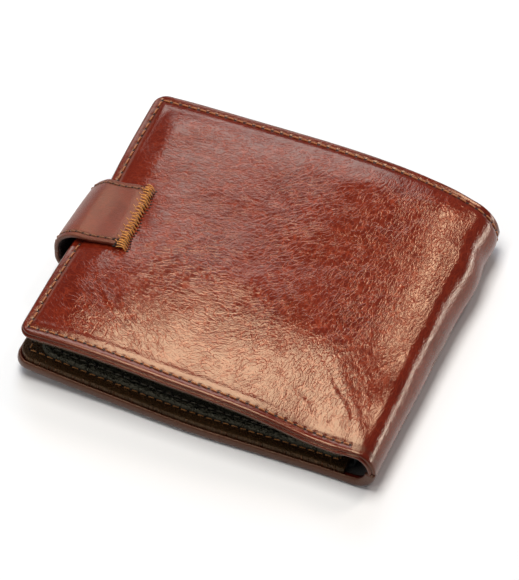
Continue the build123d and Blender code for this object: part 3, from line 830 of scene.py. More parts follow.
def add_pull(obj, flip=False):
    """Creases, wear and painted shade of one half of the hide. The seam channel and the rim are painted
    darker and made rougher; the back half's rim, under the front cover, is painted much darker, as shade.
    """
    coords = hide_coords(obj.data).astype(float)
    s = HIDE.total - coords[:, 0] if flip else coords[:, 0]
    strength = crease_strength(s, coords[:, 1]) * (0.6 if flip else 1.0)
    rim = np.where(coords[:, 2] > 0, 1.0, 0.0)
    edge = np.minimum(np.minimum(coords[:, 0], HIDE.total - coords[:, 0]), HALF - np.abs(coords[:, 1]))
    # worn: painted shade in the seam channel and on the rim, strongest on the back half's rim under the front
    # cover; the material also roughens these places with it.
    worn = np.clip(0.45 * hill(edge, SEAM_LINE, 0.8) + (0.95 if flip else 0.25) * rim, 0, 1)
    store_pull(obj.data, crease_weights(s, coords[:, 1]), strength, rim, worn)


def edge_wave(s, y, k):
    """The turned edge isn't quite even."""
    return 0.03 * noise(s / 6 + y / 6, y / 9 + s / 9 + k * 0.05, 61)


HIDE_STEP = 0.46


def build_hide():
    """The two halves of the one hide, meeting in the middle of the spine."""
    front = shell(
        "front_hide", (0.0, SPINE_MIDDLE), (-HALF, HALF), HIDE_STEP, ROLLED_EDGE, (CORNER_R, 0), CHESTNUT,
        relief=front_relief, open_high=True, edge_relief=edge_wave,
    )
    back = shell(
        "back_hide", (SPINE_MIDDLE, HIDE.total), (-HALF, HALF), HIDE_STEP * 1.3, TURNED_LIP, (0, CORNER_R),
        CHESTNUT, relief=back_relief, open_low=True, edge_relief=edge_wave,
    )
    add_pull(front)
    add_pull(back, flip=True)
    return front, back


front_hide, back_hide = build_hide()


def curve_point(s):
    """A point of the plain hide curve in metres."""
    x, z = HIDE.at(np.array([s]))[0, :2]
    return (float(x) * MM, 0.0, float(z) * MM)


FRONT_BEND = (curve_point(DOME_END - 6), curve_point(SPINE_MIDDLE - 3))
BACK_BEND = (curve_point(SPINE_END + 6), curve_point(SPINE_MIDDLE + 3))


def bend_front(obj):
    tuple(FRONT_BEND[0])
    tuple(FRONT_BEND[1])
    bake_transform(obj)


def bend_back(obj):
    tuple(BACK_BEND[0])
    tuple(BACK_BEND[1])
    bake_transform(obj)


bend_front(front_hide)
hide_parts("front_cover", "spine_leather")
bend_back(back_hide)
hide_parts("back_cover")


# ---------------------------------------------------------------- threads
def capped_rings(count, sides):
    """The faces of a closed tube made of rings of points."""
    faces = []
    for i in range(count - 1):
        for j in range(sides):
            k = (j + 1) % sides
            faces.append((i * sides + j, i * sides + k, (i + 1) * sides + k, (i + 1) * sides + j))
    faces.append(tuple(range(sides))[::-1])
    faces.append(tuple((count - 1) * sides + j for j in range(sides)))
    return faces


def tube(points, radius, sides=8):
    """Rings round a line of (s, y, height) points: its vertices, faces and twist coordinates."""
    points = np.asarray(points, float)
    run = np.gradient(points, axis=0)
    run /= np.linalg.norm(run, axis=1)[:, None]
    side = np.cross(run, (0.0, 0.0, 1.0))
    side /= np.linalg.norm(side, axis=1)[:, None]
    up = np.cross(side, run)
    angle = np.arange(sides) / sides * 2 * math.pi
    radius = np.broadcast_to(radius, len(points))[:, None, None]
    around = np.cos(angle)[None, :, None] * side[:, None] + np.sin(angle)[None, :, None] * up[:, None]
    rings = points[:, None] + radius * around
    along = np.concatenate([[0], np.cumsum(np.linalg.norm(np.diff(points, axis=0), axis=1))])
    twist = np.stack(
        [np.repeat(along, sides), np.tile(angle, len(points)) * 0.3, np.zeros(len(points) * sides)], -1
    )
    return rings.reshape(-1, 3), capped_rings(len(points), sides), twist


class Stitches:
    """Threads and needle holes gathered into one mesh, in (s, y, height) over a surface."""

    def __init__(self):
        self.vertices, self.faces, self.twist, self.kinds = [], [], [], []
        self.count = 0

    def add(self, vertices, faces, twist, kind):
        self.vertices.append(vertices)
        self.twist.append(twist)
        self.faces += [tuple(int(v) + self.count for v in face) for face in faces]
        self.kinds += [kind] * len(faces)
        self.count += len(vertices)

    def hole(self, s, y, radius, level, stretch=1.0, turn=0.0):
        """A slightly sunken disc at a needle hole, painted dark as shade."""
        sides = 10
        angle = np.arange(sides) / sides * 2 * math.pi
        a, b = radius * stretch * np.cos(angle), radius * np.sin(angle)
        ring = np.stack(
            [
                s + a * math.cos(turn) - b * math.sin(turn), y + a * math.sin(turn) + b * math.cos(turn),
                np.full(sides, level),
            ],
            -1,
        )
        low = ring.copy()
        low[:, 2] -= 0.25
        vertices = np.concatenate([ring, low])
        faces = [tuple(range(sides)), tuple(range(2 * sides - 1, sides - 1, -1))]
        for j in range(sides):
            k = (j + 1) % sides
            faces.append((j, j + sides, k + sides, k))
        self.add(vertices, faces, vertices * 3.0, 1)

    def row(self, spots, level, width=0.22, slant=0.10, sag=0.30, seed=0, hole=0.40):
        """A row of stitches from hole to hole. level(s, y) is the leather's height."""
        for k in range(len(spots) - 1):
            a, b = spots[k], spots[k + 1]
            run = b - a
            length = math.hypot(*run)
            way = run / length
            across = np.array([-way[1], way[0]])
            jitter = 0.05 * math.sin(seed + k * 2.39)
            share = np.linspace(0.17, 0.83, 8)
            flat = a[None] + share[:, None] * run[None]
            flat = flat + across * (slant * (1 - 2 * share) + jitter)[:, None]
            bow = np.sin(share * math.pi)
            lift = 0.20 + 0.04 * math.sin(seed * 3 + k * 1.7)
            height = level(flat[:, 0], flat[:, 1]) + lift * bow - sag * (1 - bow) ** 2 * 1.2
            radius = width * (0.62 + 0.38 * bow**0.5)
            self.add(*tube(np.column_stack([flat, height]), radius), 0)
        for k, spot in enumerate(spots):
            step = spots[min(k + 1, len(spots) - 1)] - spots[max(k - 1, 0)]
            turn = math.atan2(step[1], step[0]) + 0.5
            here = level(spot[0:1], spot[1:2])[0]
            self.hole(spot[0], spot[1], hole, here + 0.12, 1.35, turn)

    def build(self, name, place, materials):
        vertices = np.concatenate(self.vertices)
        points = place(vertices[:, 0], vertices[:, 1], -vertices[:, 2])
        return make_object(
            name, points, self.faces, materials,
            attributes={"twist": np.concatenate(self.twist), "hide": vertices}, material_index=self.kinds,
        )


def build_seams():
    """The covers' edge stitching, on each half of the hide."""
    for name, seams, relief, first_seed, bend, nodes in (
        ("front_seam", FRONT_SEAMS, front_relief, 0, bend_front, ("front_edge_thread", "spine_thread")),
        ("back_seam", BACK_SEAMS, back_relief, 7, bend_back, ("back_edge_thread",)),
    ):
        rows = Stitches()
        for k, spots in enumerate(seams):
            rows.row(spots, relief, seed=k + first_seed)
        seam = rows.build(name, on_hide, [THREAD, HOLES])
        bend(seam)
        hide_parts(*nodes)


build_seams()


# ---------------------------------------------------------------- inside the covers
def front_s(x):
    """The length along the hide at which the front cover passes a given x."""
    return CROWN_R * (crown_angle(EDGE_X) - crown_angle(x))


def back_s(x):
    """The length along the hide at which the back cover passes a given x."""
    if x < BASE_C[0]:
        return HIDE.total - BASE_R * (base_angle(x) - base_angle(EDGE_X))
    return FLAT_END + BASE_C[0] - x


PANEL_END = PANEL_HIGH[0]
PANEL_INSET = PANEL_LOW[0] - EDGE_X
MOUTH_FIRST, MOUTH_STEP = 4.0, 11.0
FRONT_RANGE = (front_s(EDGE_X + PANEL_INSET), front_s(PANEL_END))
BACK_RANGE = (back_s(PANEL_END), back_s(EDGE_X + PANEL_INSET))
CARD = 0.4
SLIT = 0.3
BOARD_MARGIN, BOARD_BACK_OFF, LINING_MARGIN = 4.5, 3.3, 2.0
FIRST_GAP = 1.85


def pocket_relief(mouth):
    """A card pocket: pressed line under its turned mouth, and a faint uneven swell."""

    def relief(s, y):
        press = -0.10 * hill(y, mouth - 1.7, 0.32)
        return press + 0.05 * noise(s / 9, y / 9, 71) + 0.012 * noise(s / 0.8, y / 0.8, 72)

    return relief


def wrapped_profile(seen, hidden, base, roll=0.32, reach=1.4):
    """An inner sheet's edge, rounded down over whatever it covers, as far as base."""
    sign = 1.0 if hidden > seen else -1.0
    r = min(roll, abs(base - seen) / 2)
    return [
        (-2.2 * r, seen), (-1.0 * r, seen + sign * 0.10 * r), (-0.3 * r, seen + sign * 0.40 * r),
        (0.0, seen + sign * r), (0.0, base - sign * 0.6 * r), (-0.2 * r, base - sign * 0.15 * r),
        (-0.8 * r, base), (-reach, base), (-reach - 0.1, hidden),
    ]


def ride_as(obj, body, nodes):
    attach(obj, body)
    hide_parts(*nodes)


def build_half(name, s_range, corners, pockets, divided):
    """The boards, lining, note divider and stepped card pockets of one cover, from outside to inside."""
    inner_y = HALF - PANEL_INSET
    step = 1.0
    if name == "front":
        board_range = (s_range[0] + BOARD_BACK_OFF, s_range[1])
        lining_range, opens = (LINING_MARGIN, SPINE_MIDDLE), {"open_high": True}
    else:
        board_range = (s_range[0], s_range[1] - BOARD_BACK_OFF)
        lining_range, opens = (SPINE_MIDDLE, HIDE.total - LINING_MARGIN), {"open_low": True}
    board = shell(
        name + "_board", board_range, (-HALF + BOARD_MARGIN, HALF - BOARD_MARGIN), 3.0,
        soft_profile(LEATHER, LINING_DEPTH),
        (0, 0), BOARD,
    )
    ride_as(board, name, [name + "_stiffener"])
    lining = shell(
        name + "_lining", lining_range, (-HALF + LINING_MARGIN, HALF - LINING_MARGIN), step,
        soft_profile(FIRST_GAP, LINING_DEPTH), corners, LINING,
        relief=lambda s, y: 0.03 * noise(s / 5, y / 8, 81), **opens,
    )
    (bend_front if name == "front" else bend_back)(lining)
    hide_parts(*([name + "_note_lining"] + (["spine_lining"] if name == "front" else [])))
    depth = FIRST_GAP + SLIT
    if divided:
        divider = shell(
            "note_divider_cloth", s_range, (-inner_y, inner_y), step,
            wrapped_profile(depth + SLIT, depth, FIRST_GAP, reach=3.0), corners, LINING, open_far=True,
            relief=lambda s, y: 0.04 * noise(s / 9, y / 9, 82),
        )
        ride_as(divider, name, ["note_divider"])
        depth += SLIT + SLIT
    base = shell(
        name + "_pocket_panel", s_range, (-inner_y, inner_y), step,
        wrapped_profile(depth + CARD, depth, depth - SLIT, reach=3.0), corners, POCKET, open_far=True,
        relief=pocket_relief(HALF - 1.0),
    )
    ride_as(base, name, [name + "_pocket_base"])
    depth += CARD
    bottom = depth - CARD - SLIT
    for order in range(pockets):
        number = pockets - order
        mouth = HALF - MOUTH_FIRST - order * MOUTH_STEP
        seen = depth + (order + 1) * CARD
        grow = 0.10 * (order + 1)
        pocket = shell(
            f"{name}_pocket_{number}", (s_range[0] - grow, s_range[1] + grow), (-inner_y - grow, mouth),
            0.8, wrapped_profile(seen, seen - CARD, bottom, reach=1.2),
            tuple(0.6 if c == 0 else c for c in corners), POCKET, open_far=True,
            relief=pocket_relief(mouth),
        )
        ride_as(pocket, name, [f"{name}_card_pocket_{number}"])
        row = Stitches()
        lows, highs = s_range[0] + 2.0, s_range[1] - 2.0
        top_y = mouth - 0.8
        edge = stitch_line([(lows, mouth - 1.7), (highs, mouth - 1.7)], 2.2)
        row.row(edge, no_relief, width=0.16, hole=0.16, sag=0.14, seed=order)
        if order == pockets - 1:
            line = [(lows, top_y), (lows, -inner_y + 2.0), (highs, -inner_y + 2.0), (highs, top_y)]
            for a, b in zip(line[:-1], line[1:]):
                row.row(stitch_line([a, b], 2.4), no_relief, width=0.2, hole=0.24, sag=0.2, seed=order + 3)
        else:
            below = mouth - MOUTH_STEP
            for end_s in (lows, highs):
                spots = stitch_line([(end_s, top_y), (end_s, below + 0.3)], 2.4)
                row.row(spots, no_relief, width=0.2, hole=0.24, sag=0.2, seed=order + 5)

        def place(s, y, d, at=seen):
            return on_hide(s, y, at - d)

        made = row.build(f"{name}_pocket_{number}_seam", place, [POCKET_THREAD, HOLES])
        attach(made, name)


POCKET_THREAD = thread_material("pocket_thread", (0.12, 0.04, 0.010), (0.62, 0.24, 0.045))
build_half("front", FRONT_RANGE, (CORNER_R, 0), 3, divided=False)
build_half("back", BACK_RANGE, (0, CORNER_R), 4, divided=True)


# ---------------------------------------------------------------- the hinged leaf with its window
def round_loop(low, high, radius, per_side, per_corner):
    """Points and outward directions once round a rounded rectangle."""
    centres = [
        (high[0] - radius, low[1] + radius, -90), (high[0] - radius, high[1] - radius, 0),
        (low[0] + radius, high[1] - radius, 90), (low[0] + radius, low[1] + radius, 180),
    ]
    points, ways = [], []
    for k, (cx, cy, start) in enumerate(centres):
        for i in range(per_corner + 1):
            a = math.radians(start + 90 * i / per_corner)
            points.append((cx + radius * math.cos(a), cy + radius * math.sin(a)))
            ways.append((math.cos(a), math.sin(a)))
        nx, ny, turn = centres[(k + 1) % 4]
        a = math.radians(turn)
        end = (nx + radius * math.cos(a), ny + radius * math.sin(a))
        begin = points[-1]
        for i in range(1, per_side):
            t = i / per_side
            points.append((begin[0] + (end[0] - begin[0]) * t, begin[1] + (end[1] - begin[1]) * t))
            ways.append((math.cos(a), math.sin(a)))
    return np.array(points), np.array(ways)


def ring(name, place, outer, inner, radii, section, material, per_side=48, per_corner=6):
    """A frame round an opening. section is its closed outline as (share from outer to inner loop,
    outward, depth)."""
    loops = [round_loop(*box, r, per_side, per_corner) for box, r in zip((outer, inner), radii)]
    points, coords = [], []
    for share, outward, depth in section:
        flat = [p + w * outward for p, w in loops]
        at = flat[0] * (1 - share) + flat[1] * share
        height = 0.03 * noise(at[:, 0] / 3, at[:, 1] / 3, 91) + 0.02 * noise(at[:, 0], at[:, 1], 92)
        points.append(place(at[:, 0], at[:, 1], depth + height))
        coords.append(np.column_stack([at, np.zeros(len(at))]))
    size, deep = len(loops[0][0]), len(section)
    faces = []
    for a in range(deep):
        b = (a + 1) % deep
        for i in range(size):
            j = (i + 1) % size
            faces.append((a * size + i, b * size + i, b * size + j, a * size + j))
    return make_object(
        name, np.concatenate(points), faces, [material], attributes={"hide": np.concatenate(coords)}
    )


LEAF_BOTTOM = 5.45
LEAF_TOP = 7.55
LEAF_S = (back_s(LEAF_HIGH[0]), back_s(LEAF_LOW[0]))
LEAF_Y = LEAF_HIGH[1]
WINDOW_LOW, WINDOW_HIGH = box_mm("leaf_window")
PANE_OVERLAP = 2.5
LEAF_SEAM = 1.7
OPENING = (
    (back_s(WINDOW_HIGH[0] - PANE_OVERLAP), WINDOW_LOW[1] + PANE_OVERLAP),
    (back_s(WINDOW_LOW[0] + PANE_OVERLAP), WINDOW_HIGH[1] - PANE_OVERLAP),
)


def leaf_stitches(name, path, depth, width, hole, sag):
    """Straight rows of stitches between the corners of a path, at a depth below the hide."""
    rows = Stitches()
    for k in range(len(path) - 1):
        rows.row(stitch_line(path[k : k + 2], 2.4), no_relief, width=width, hole=hole, sag=sag, seed=k)
    return rows.build(name, lambda s, y, d: on_hide(s, y, depth - d), [LEAF_THREAD, HOLES])


def build_leaf():
    """A padded leather leaf: rounded edge, opening with a clear window, and a card pocket behind."""
    outer = ((LEAF_S[0], -LEAF_Y), (LEAF_S[1], LEAF_Y))
    section = [
        (0, -3.0, 5.75), (0, -2.2, 5.50), (0, -1.1, LEAF_BOTTOM), (0, -0.5, 5.58), (0, -0.12, 5.95),
        (0, 0.0, 6.45), (0, -0.10, 6.95), (0, -0.42, 7.32), (0, -1.0, LEAF_TOP), (0, -1.7, 7.48),
        (0, -2.4, LEAF_TOP + 0.03),
    ]
    section += [(k / 12, -2.4 * (1 - k / 12), LEAF_TOP + 0.03) for k in range(1, 12)]
    section += [
        (1, 0.6, LEAF_TOP), (1, 0.15, 7.48), (1, 0.0, 7.25), (1, 0.05, 6.98), (1, 1.0, 6.96),
        (1, 3.2, 6.96), (0, -3.4, 6.90), (0, -3.4, 6.2),
    ]
    wrap = ring("leaf_wrap", on_hide, outer, OPENING, (CORNER_R, 2.0), section, BLACK)
    ride_as(wrap, "leaf", ["leaf_upper_panel"])
    floor = shell(
        "leaf_window_floor", (LEAF_S[0] + 3.0, LEAF_S[1] - 3.0), (-LEAF_Y + 3.0, LEAF_Y - 3.0), 1.6,
        soft_profile(6.45, 6.05), (0, 0), LINING,
    )
    ride_as(floor, "leaf", ["leaf_stiffener", "leaf_hinge_strip"])
    lower = shell(
        "leaf_back_panel", (LEAF_S[0] + 1.2, LEAF_S[1] - 1.2), (-LEAF_Y + 1.2, LEAF_Y - 1.2), 1.2,
        soft_profile(LEAF_BOTTOM - 0.02, 6.0), (CORNER_R - 1, CORNER_R - 1), BLACK,
        relief=lambda s, y: 0.03 * noise(s / 3, y / 3, 93),
    )
    ride_as(lower, "leaf", ["leaf_lower_panel"])
    pocket = shell(
        "leaf_pocket", (LEAF_S[0] + 0.5, LEAF_S[1] - 0.5), (-LEAF_Y + 0.5, LEAF_Y - MOUTH_STEP), 1.0,
        wrapped_profile(5.05, LEAF_BOTTOM, LEAF_BOTTOM + 0.1, reach=1.2), (CORNER_R, CORNER_R), BLACK,
        open_far=True, relief=pocket_relief(LEAF_Y - MOUTH_STEP),
    )
    ride_as(pocket, "leaf", ["leaf_card_pocket"])
    pane = shell(
        "leaf_pane", (back_s(WINDOW_HIGH[0]), back_s(WINDOW_LOW[0])), (WINDOW_LOW[1], WINDOW_HIGH[1]), 1.6,
        soft_profile(6.92, 6.72), (1.5, 1.5), WINDOW, relief=lambda s, y: 0.05 * noise(s / 12, y / 12, 94),
    )
    ride_as(pane, "leaf", ["leaf_window"])
    binding = [(0, 0.0, 7.62), (0, 0.0, 7.78), (0, -0.25, 7.93), (0, -0.8, 7.98)]
    binding += [(0.5, 0.0, 7.92), (1, 0.8, 7.98), (1, 0.3, 7.9), (1, 0.0, 7.6), (1, 0.1, 7.3), (1, 0.5, 7.3)]
    binding += [(0.5, 0.0, 7.5)]
    grown = ((OPENING[0][0] - 5, OPENING[0][1] - 5), (OPENING[1][0] + 5, OPENING[1][1] + 5))
    frame_piece = ring("leaf_binding", on_hide, grown, OPENING, (3.0, 1.8), binding, BLACK)
    ride_as(frame_piece, "leaf", ["leaf_window_frame"])
    a, b = (LEAF_S[0] + LEAF_SEAM, -LEAF_Y + LEAF_SEAM), (LEAF_S[1] - LEAF_SEAM, LEAF_Y - LEAF_SEAM)
    cut = 2.2
    path = [(a[0], a[1] + cut), (a[0] + cut, a[1]), (b[0] - cut, a[1]), (b[0], a[1] + cut)]
    path += [(b[0], b[1] - cut), (b[0] - cut, b[1]), (a[0] + cut, b[1]), (a[0], b[1] - cut), path[0]]
    seam = leaf_stitches("leaf_seam", path, 7.50, 0.2, 0.24, 0.2)
    ride_as(seam, "leaf", ["leaf_edge_thread"])
    a, b = (OPENING[0][0] - 1.6, OPENING[0][1] - 1.6), (OPENING[1][0] + 1.6, OPENING[1][1] + 1.6)
    path = [a, (b[0], a[1]), b, (a[0], b[1]), a]
    seam = leaf_stitches("leaf_binding_seam", path, 7.94, 0.17, 0.2, 0.16)
    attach(seam, "leaf")


LEAF_THREAD = thread_material("leaf_thread", (0.012, 0.010, 0.006), (0.07, 0.055, 0.022))
build_leaf()


def build_leaf_hinge():
    """The soft strip that carries the leaf: up from the back half's lining, then on into the leaf."""
    x_end, x_turn = LEAF_HIGH[0], LEAF_HIGH[0] + 1.4
    line = [(x_turn - 4.0, 1.95), (x_turn - 1.2, 2.0), (x_turn - 0.2, 2.9), (x_turn, 4.4)]
    line += [(x_turn - 0.1, 5.9), (x_turn - 0.6, 6.6), (x_end - 1.5, 6.75), (x_end - 5.0, 6.75)]
    line = np.array(line)
    for _ in range(2):
        finer = [line[0]]
        for p, q in zip(line[:-1], line[1:]):
            finer += [0.75 * p + 0.25 * q, 0.25 * p + 0.75 * q]
        line = np.array(finer + [line[-1]])
    run = np.gradient(line, axis=0)
    run /= np.linalg.norm(run, axis=1)[:, None]
    side = np.stack([run[:, 1], -run[:, 0]], -1)
    outline = np.concatenate([line + 0.22 * side, (line - 0.22 * side)[::-1]])
    wide = np.linspace(-LEAF_Y + 1.4, LEAF_Y - 1.4, 60)
    size = len(outline)
    points, coords = [], []
    for y in wide:
        points += [(x, y, z + 0.02 * math.sin(y * 1.3)) for x, z in outline]
        coords += [(y, i * 0.5, 0.0) for i in range(size)]
    faces = capped_rings(len(wide), size)
    strip = make_object("leaf_hinge_fold", points, faces, [PATENT], attributes={"hide": np.array(coords)})
    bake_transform(strip)


build_leaf_hinge()


# ---------------------------------------------------------------- the closing strap
STRAP_LEATHER = 1.1
STRAP_THICK = 1.8
UPPER_TURN = 6.6
LOWER_TURN = 4.4
STRAP_CLEARANCE = 0.5
STRAP_SEAM = 1.6
STRAP_OUT = box_mm("strap_side_leather")[0][0]
STRAP_END = ANCHOR_HIGH[0]
STRAP_TIP = TIP_HIGH[0]


def bend_centre(centre, radius, turn, upward):
    """Centre of a bend that leaves a cover's curve smoothly and meets the strap's outermost line."""
    x = STRAP_OUT + STRAP_THICK + turn
    return (x, centre[1] + upward * math.sqrt((radius - turn) ** 2 - (x - centre[0]) ** 2))


UPPER_BEND = bend_centre(CROWN_C, CROWN_R, UPPER_TURN, 1)
LOWER_BEND = bend_centre(BASE_C, BASE_R + STRAP_CLEARANCE, LOWER_TURN, -1)
UPPER_LEAVE = math.atan2(UPPER_BEND[1] - CROWN_C[1], UPPER_BEND[0] - CROWN_C[0])
LOWER_LEAVE = math.atan2(LOWER_BEND[1] - BASE_C[1], LOWER_BEND[0] - BASE_C[0])
OUT_BASE = BASE_R + STRAP_CLEARANCE + STRAP_THICK
OUT_CROWN = CROWN_R + STRAP_THICK
STRAP = Path(
    [
        ("arc", *BASE_C, OUT_BASE, -math.acos((STRAP_TIP - BASE_C[0]) / OUT_BASE), LOWER_LEAVE),
        ("arc", *LOWER_BEND, LOWER_TURN + STRAP_THICK, LOWER_LEAVE, -math.pi),
        ("line", STRAP_OUT, LOWER_BEND[1], STRAP_OUT, UPPER_BEND[1]),
        ("arc", *UPPER_BEND, UPPER_TURN + STRAP_THICK, math.pi, UPPER_LEAVE),
        ("arc", *CROWN_C, OUT_CROWN, UPPER_LEAVE, math.acos((STRAP_END - CROWN_C[0]) / OUT_CROWN)),
    ]
)
STRAP_MIDDLE = (STRAP.starts[2] + STRAP.starts[3]) / 2
SEWN = 16.0


def strap_scale(from_sewn):
    """How thick the strap is: its sewn end is thinned."""
    return 1 - 0.35 * smooth((4 - from_sewn) / 4)


def narrowed(y):
    """The strap is cut a little narrower than its room, and sits nearer the open end."""
    return 0.93 * y - 0.75


def strap_lean(s, y):
    """The sewn end isn't quite square: its far corner stops short."""
    return 1.5 * (y / STRAP_HALF + 1) / 2 * smooth((s - 3) / 12)


def on_strap(t, y, depth):
    """Points of the strap: depth is below its outer face, growing towards the covers."""
    at = STRAP.at(t)
    nx, nz = STRAP.inward(at)
    scale = strap_scale(STRAP.total - t)
    d = STRAP_THICK - (STRAP_THICK - depth) * scale
    s = at[..., 0] - EDGE_X
    across = narrowed(y)
    over = smooth((t - STRAP.starts[3]) / 6)
    follow = smooth((s - 0.5) / 12.5) * over
    _, _, drop = settle(np.maximum(s, 0.0), across)
    curl = -0.30 * smooth((np.abs(y) - 7) / 5) * over * (1 - 0.5 * follow)
    bulge = 0.25 * (1 - (y / STRAP_HALF) ** 2) * smooth((t - STRAP.starts[2]) / 6) * (1 - over)
    skew = 0.4 + 1.6 * (y / STRAP_HALF + 1) / 2
    bulge = bulge - skew * smooth((5 - s) / 8) * smooth((t - STRAP.starts[1] + 6) / 14)
    lean = strap_lean(s, y) * over
    dz = drop * follow + 0.12 * over + curl
    x, z = at[..., 0] + nx * d - bulge - lean, at[..., 1] + nz * d + dz
    return np.stack([x, np.broadcast_to(across, x.shape), z], -1)


STRAP_LINE = STRAP_HALF - STRAP_SEAM
STRAP_ROWS = [
    stitch_line([(11.0, side * STRAP_LINE), (STRAP.total - 3.6, side * STRAP_LINE)], 2.3) for side in (-1, 1)
]


def strap_relief(t, y):
    """Pressed edge lines, stitch channels and soft creases."""
    gap = np.abs(np.abs(y) - STRAP_LINE)
    depth = -0.14 * hill(gap, 0, 0.5) - 0.05 * hill(np.abs(y), STRAP_HALF - 0.75, 0.25)
    soft = 0.035 * noise(t / 6, y / 6, 101) + 0.010 * noise(t / 1.6, y / 1.6, 102)
    return depth + soft - 0.10 * hole_dimples(t, y, gap, 1.0, STRAP_ROWS, 0.4)


STRAP_EDGE = [
    (-0.75, 0.0), (-0.42, 0.04), (-0.16, 0.18), (-0.02, 0.42), (0.0, 0.68), (-0.05, 0.98), (-0.20, 1.24),
    (-0.44, 1.34), (-0.70, STRAP_LEATHER), (-1.2, STRAP_LEATHER),
]
STRAP_LINING_EDGE = [
    (-1.6, STRAP_THICK), (-0.9, STRAP_THICK), (-0.6, 1.70), (-0.5, 1.48), (-0.52, 1.26),
    (-0.7, STRAP_LEATHER + 0.02), (-1.4, STRAP_LEATHER + 0.02),
]


def strap_point(t, depth=0.9):
    return tuple(float(v) * MM for v in on_strap(np.array([t]), 0.0, depth)[0])


def build_strap():
    """The strap's leather, lining and stitching, in two lengths that meet half-way down its side."""
    third = (STRAP.starts[3] - STRAP.starts[2]) / 2
    upper_bend = (strap_point(STRAP.starts[4] + 4.0), strap_point(STRAP.starts[3] - 0.9 * third))
    lower_bend = (strap_point(STRAP.starts[2] + 0.9 * third), strap_point(STRAP.starts[1] - 3.5))
    halves = (
        ("tip", (0.0, STRAP_MIDDLE), (6.0, 0), {"open_high": True}),
        ("anchor", (STRAP_MIDDLE, STRAP.total), (0, 1.2), {"open_low": True}),
    )
    for part_name, t_range, corners, opens in halves:

        def bend(obj):
            if part_name == "tip":
                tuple(lower_bend[0])
                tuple(lower_bend[1])
                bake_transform(obj)
            else:
                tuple(upper_bend[0])
                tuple(upper_bend[1])
                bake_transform(obj)

        leather = shell(
            f"strap_{part_name}_hide", t_range, (-STRAP_HALF, STRAP_HALF), 0.42, STRAP_EDGE, corners,
            STRAP_HIDE, place=on_strap, relief=strap_relief, **opens,
        )
        paint(leather, (0.3, 0.5, 0.15, 0.05), 0.6)
        lining = shell(
            f"strap_{part_name}_lining_skin", t_range, (-STRAP_HALF, STRAP_HALF), 0.8, STRAP_LINING_EDGE,
            corners, STRAP_LINING, place=on_strap, relief=lambda t, y: 0.03 * noise(t / 2, y / 2, 103),
            **opens,
        )
        rows = Stitches()
        for k, spots in enumerate(STRAP_ROWS):
            mid = (spots[:-1, 0] + spots[1:, 0]) / 2
            inside = (mid > t_range[0]) & (mid <= t_range[1])
            first, last = np.flatnonzero(inside)[[0, -1]]
            rows.row(spots[first : last + 2], strap_relief, width=0.2, hole=0.27, sag=0.22, seed=k)
        thread = rows.build(f"strap_{part_name}_rows", on_strap, [DARK_THREAD, HOLES])
        for obj, kind, slot_name in (
            (leather, "leather", "outer_leather"), (lining, "lining", "strap_lining_leather"),
            (thread, "thread", "seam_thread"),
        ):
            bend(obj)
            side = ["strap_side_" + kind] if part_name == "anchor" else []
            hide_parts(f"strap_{part_name}_{kind}", *side)


def paint(leather, weights, strength):
    """Crease directions, crease strength, and painted shade of the strap: darker and rougher in its stitch
    channels and at its rim.
    """
    coords = hide_coords(leather.data)
    rim = np.where(coords[:, 2] > 0, 1.0, 0.0)
    # Painted shade in the stitch channels, and a darker rim.
    worn = 0.5 * hill(np.abs(np.abs(coords[:, 1]) - STRAP_LINE), 0, 0.6) + 0.2 * rim
    store_pull(leather.data, [np.full(len(coords), w) for w in weights], strength, rim, worn)


DARK_THREAD = thread_material("strap_thread", (0.05, 0.016, 0.006), (0.36, 0.13, 0.035))
build_strap()


# ---------------------------------------------------------------- the zigzag that tacks the strap down
def strap_top(s):
    """Height above the cover of the strap's outer face near its sewn end, and of the cover past it."""
    on = 1 - smooth((s - SEWN + 0.1) / 0.7)
    return on * (STRAP_THICK * strap_scale(SEWN - s) + 0.1) + (1 - on) * 0.02


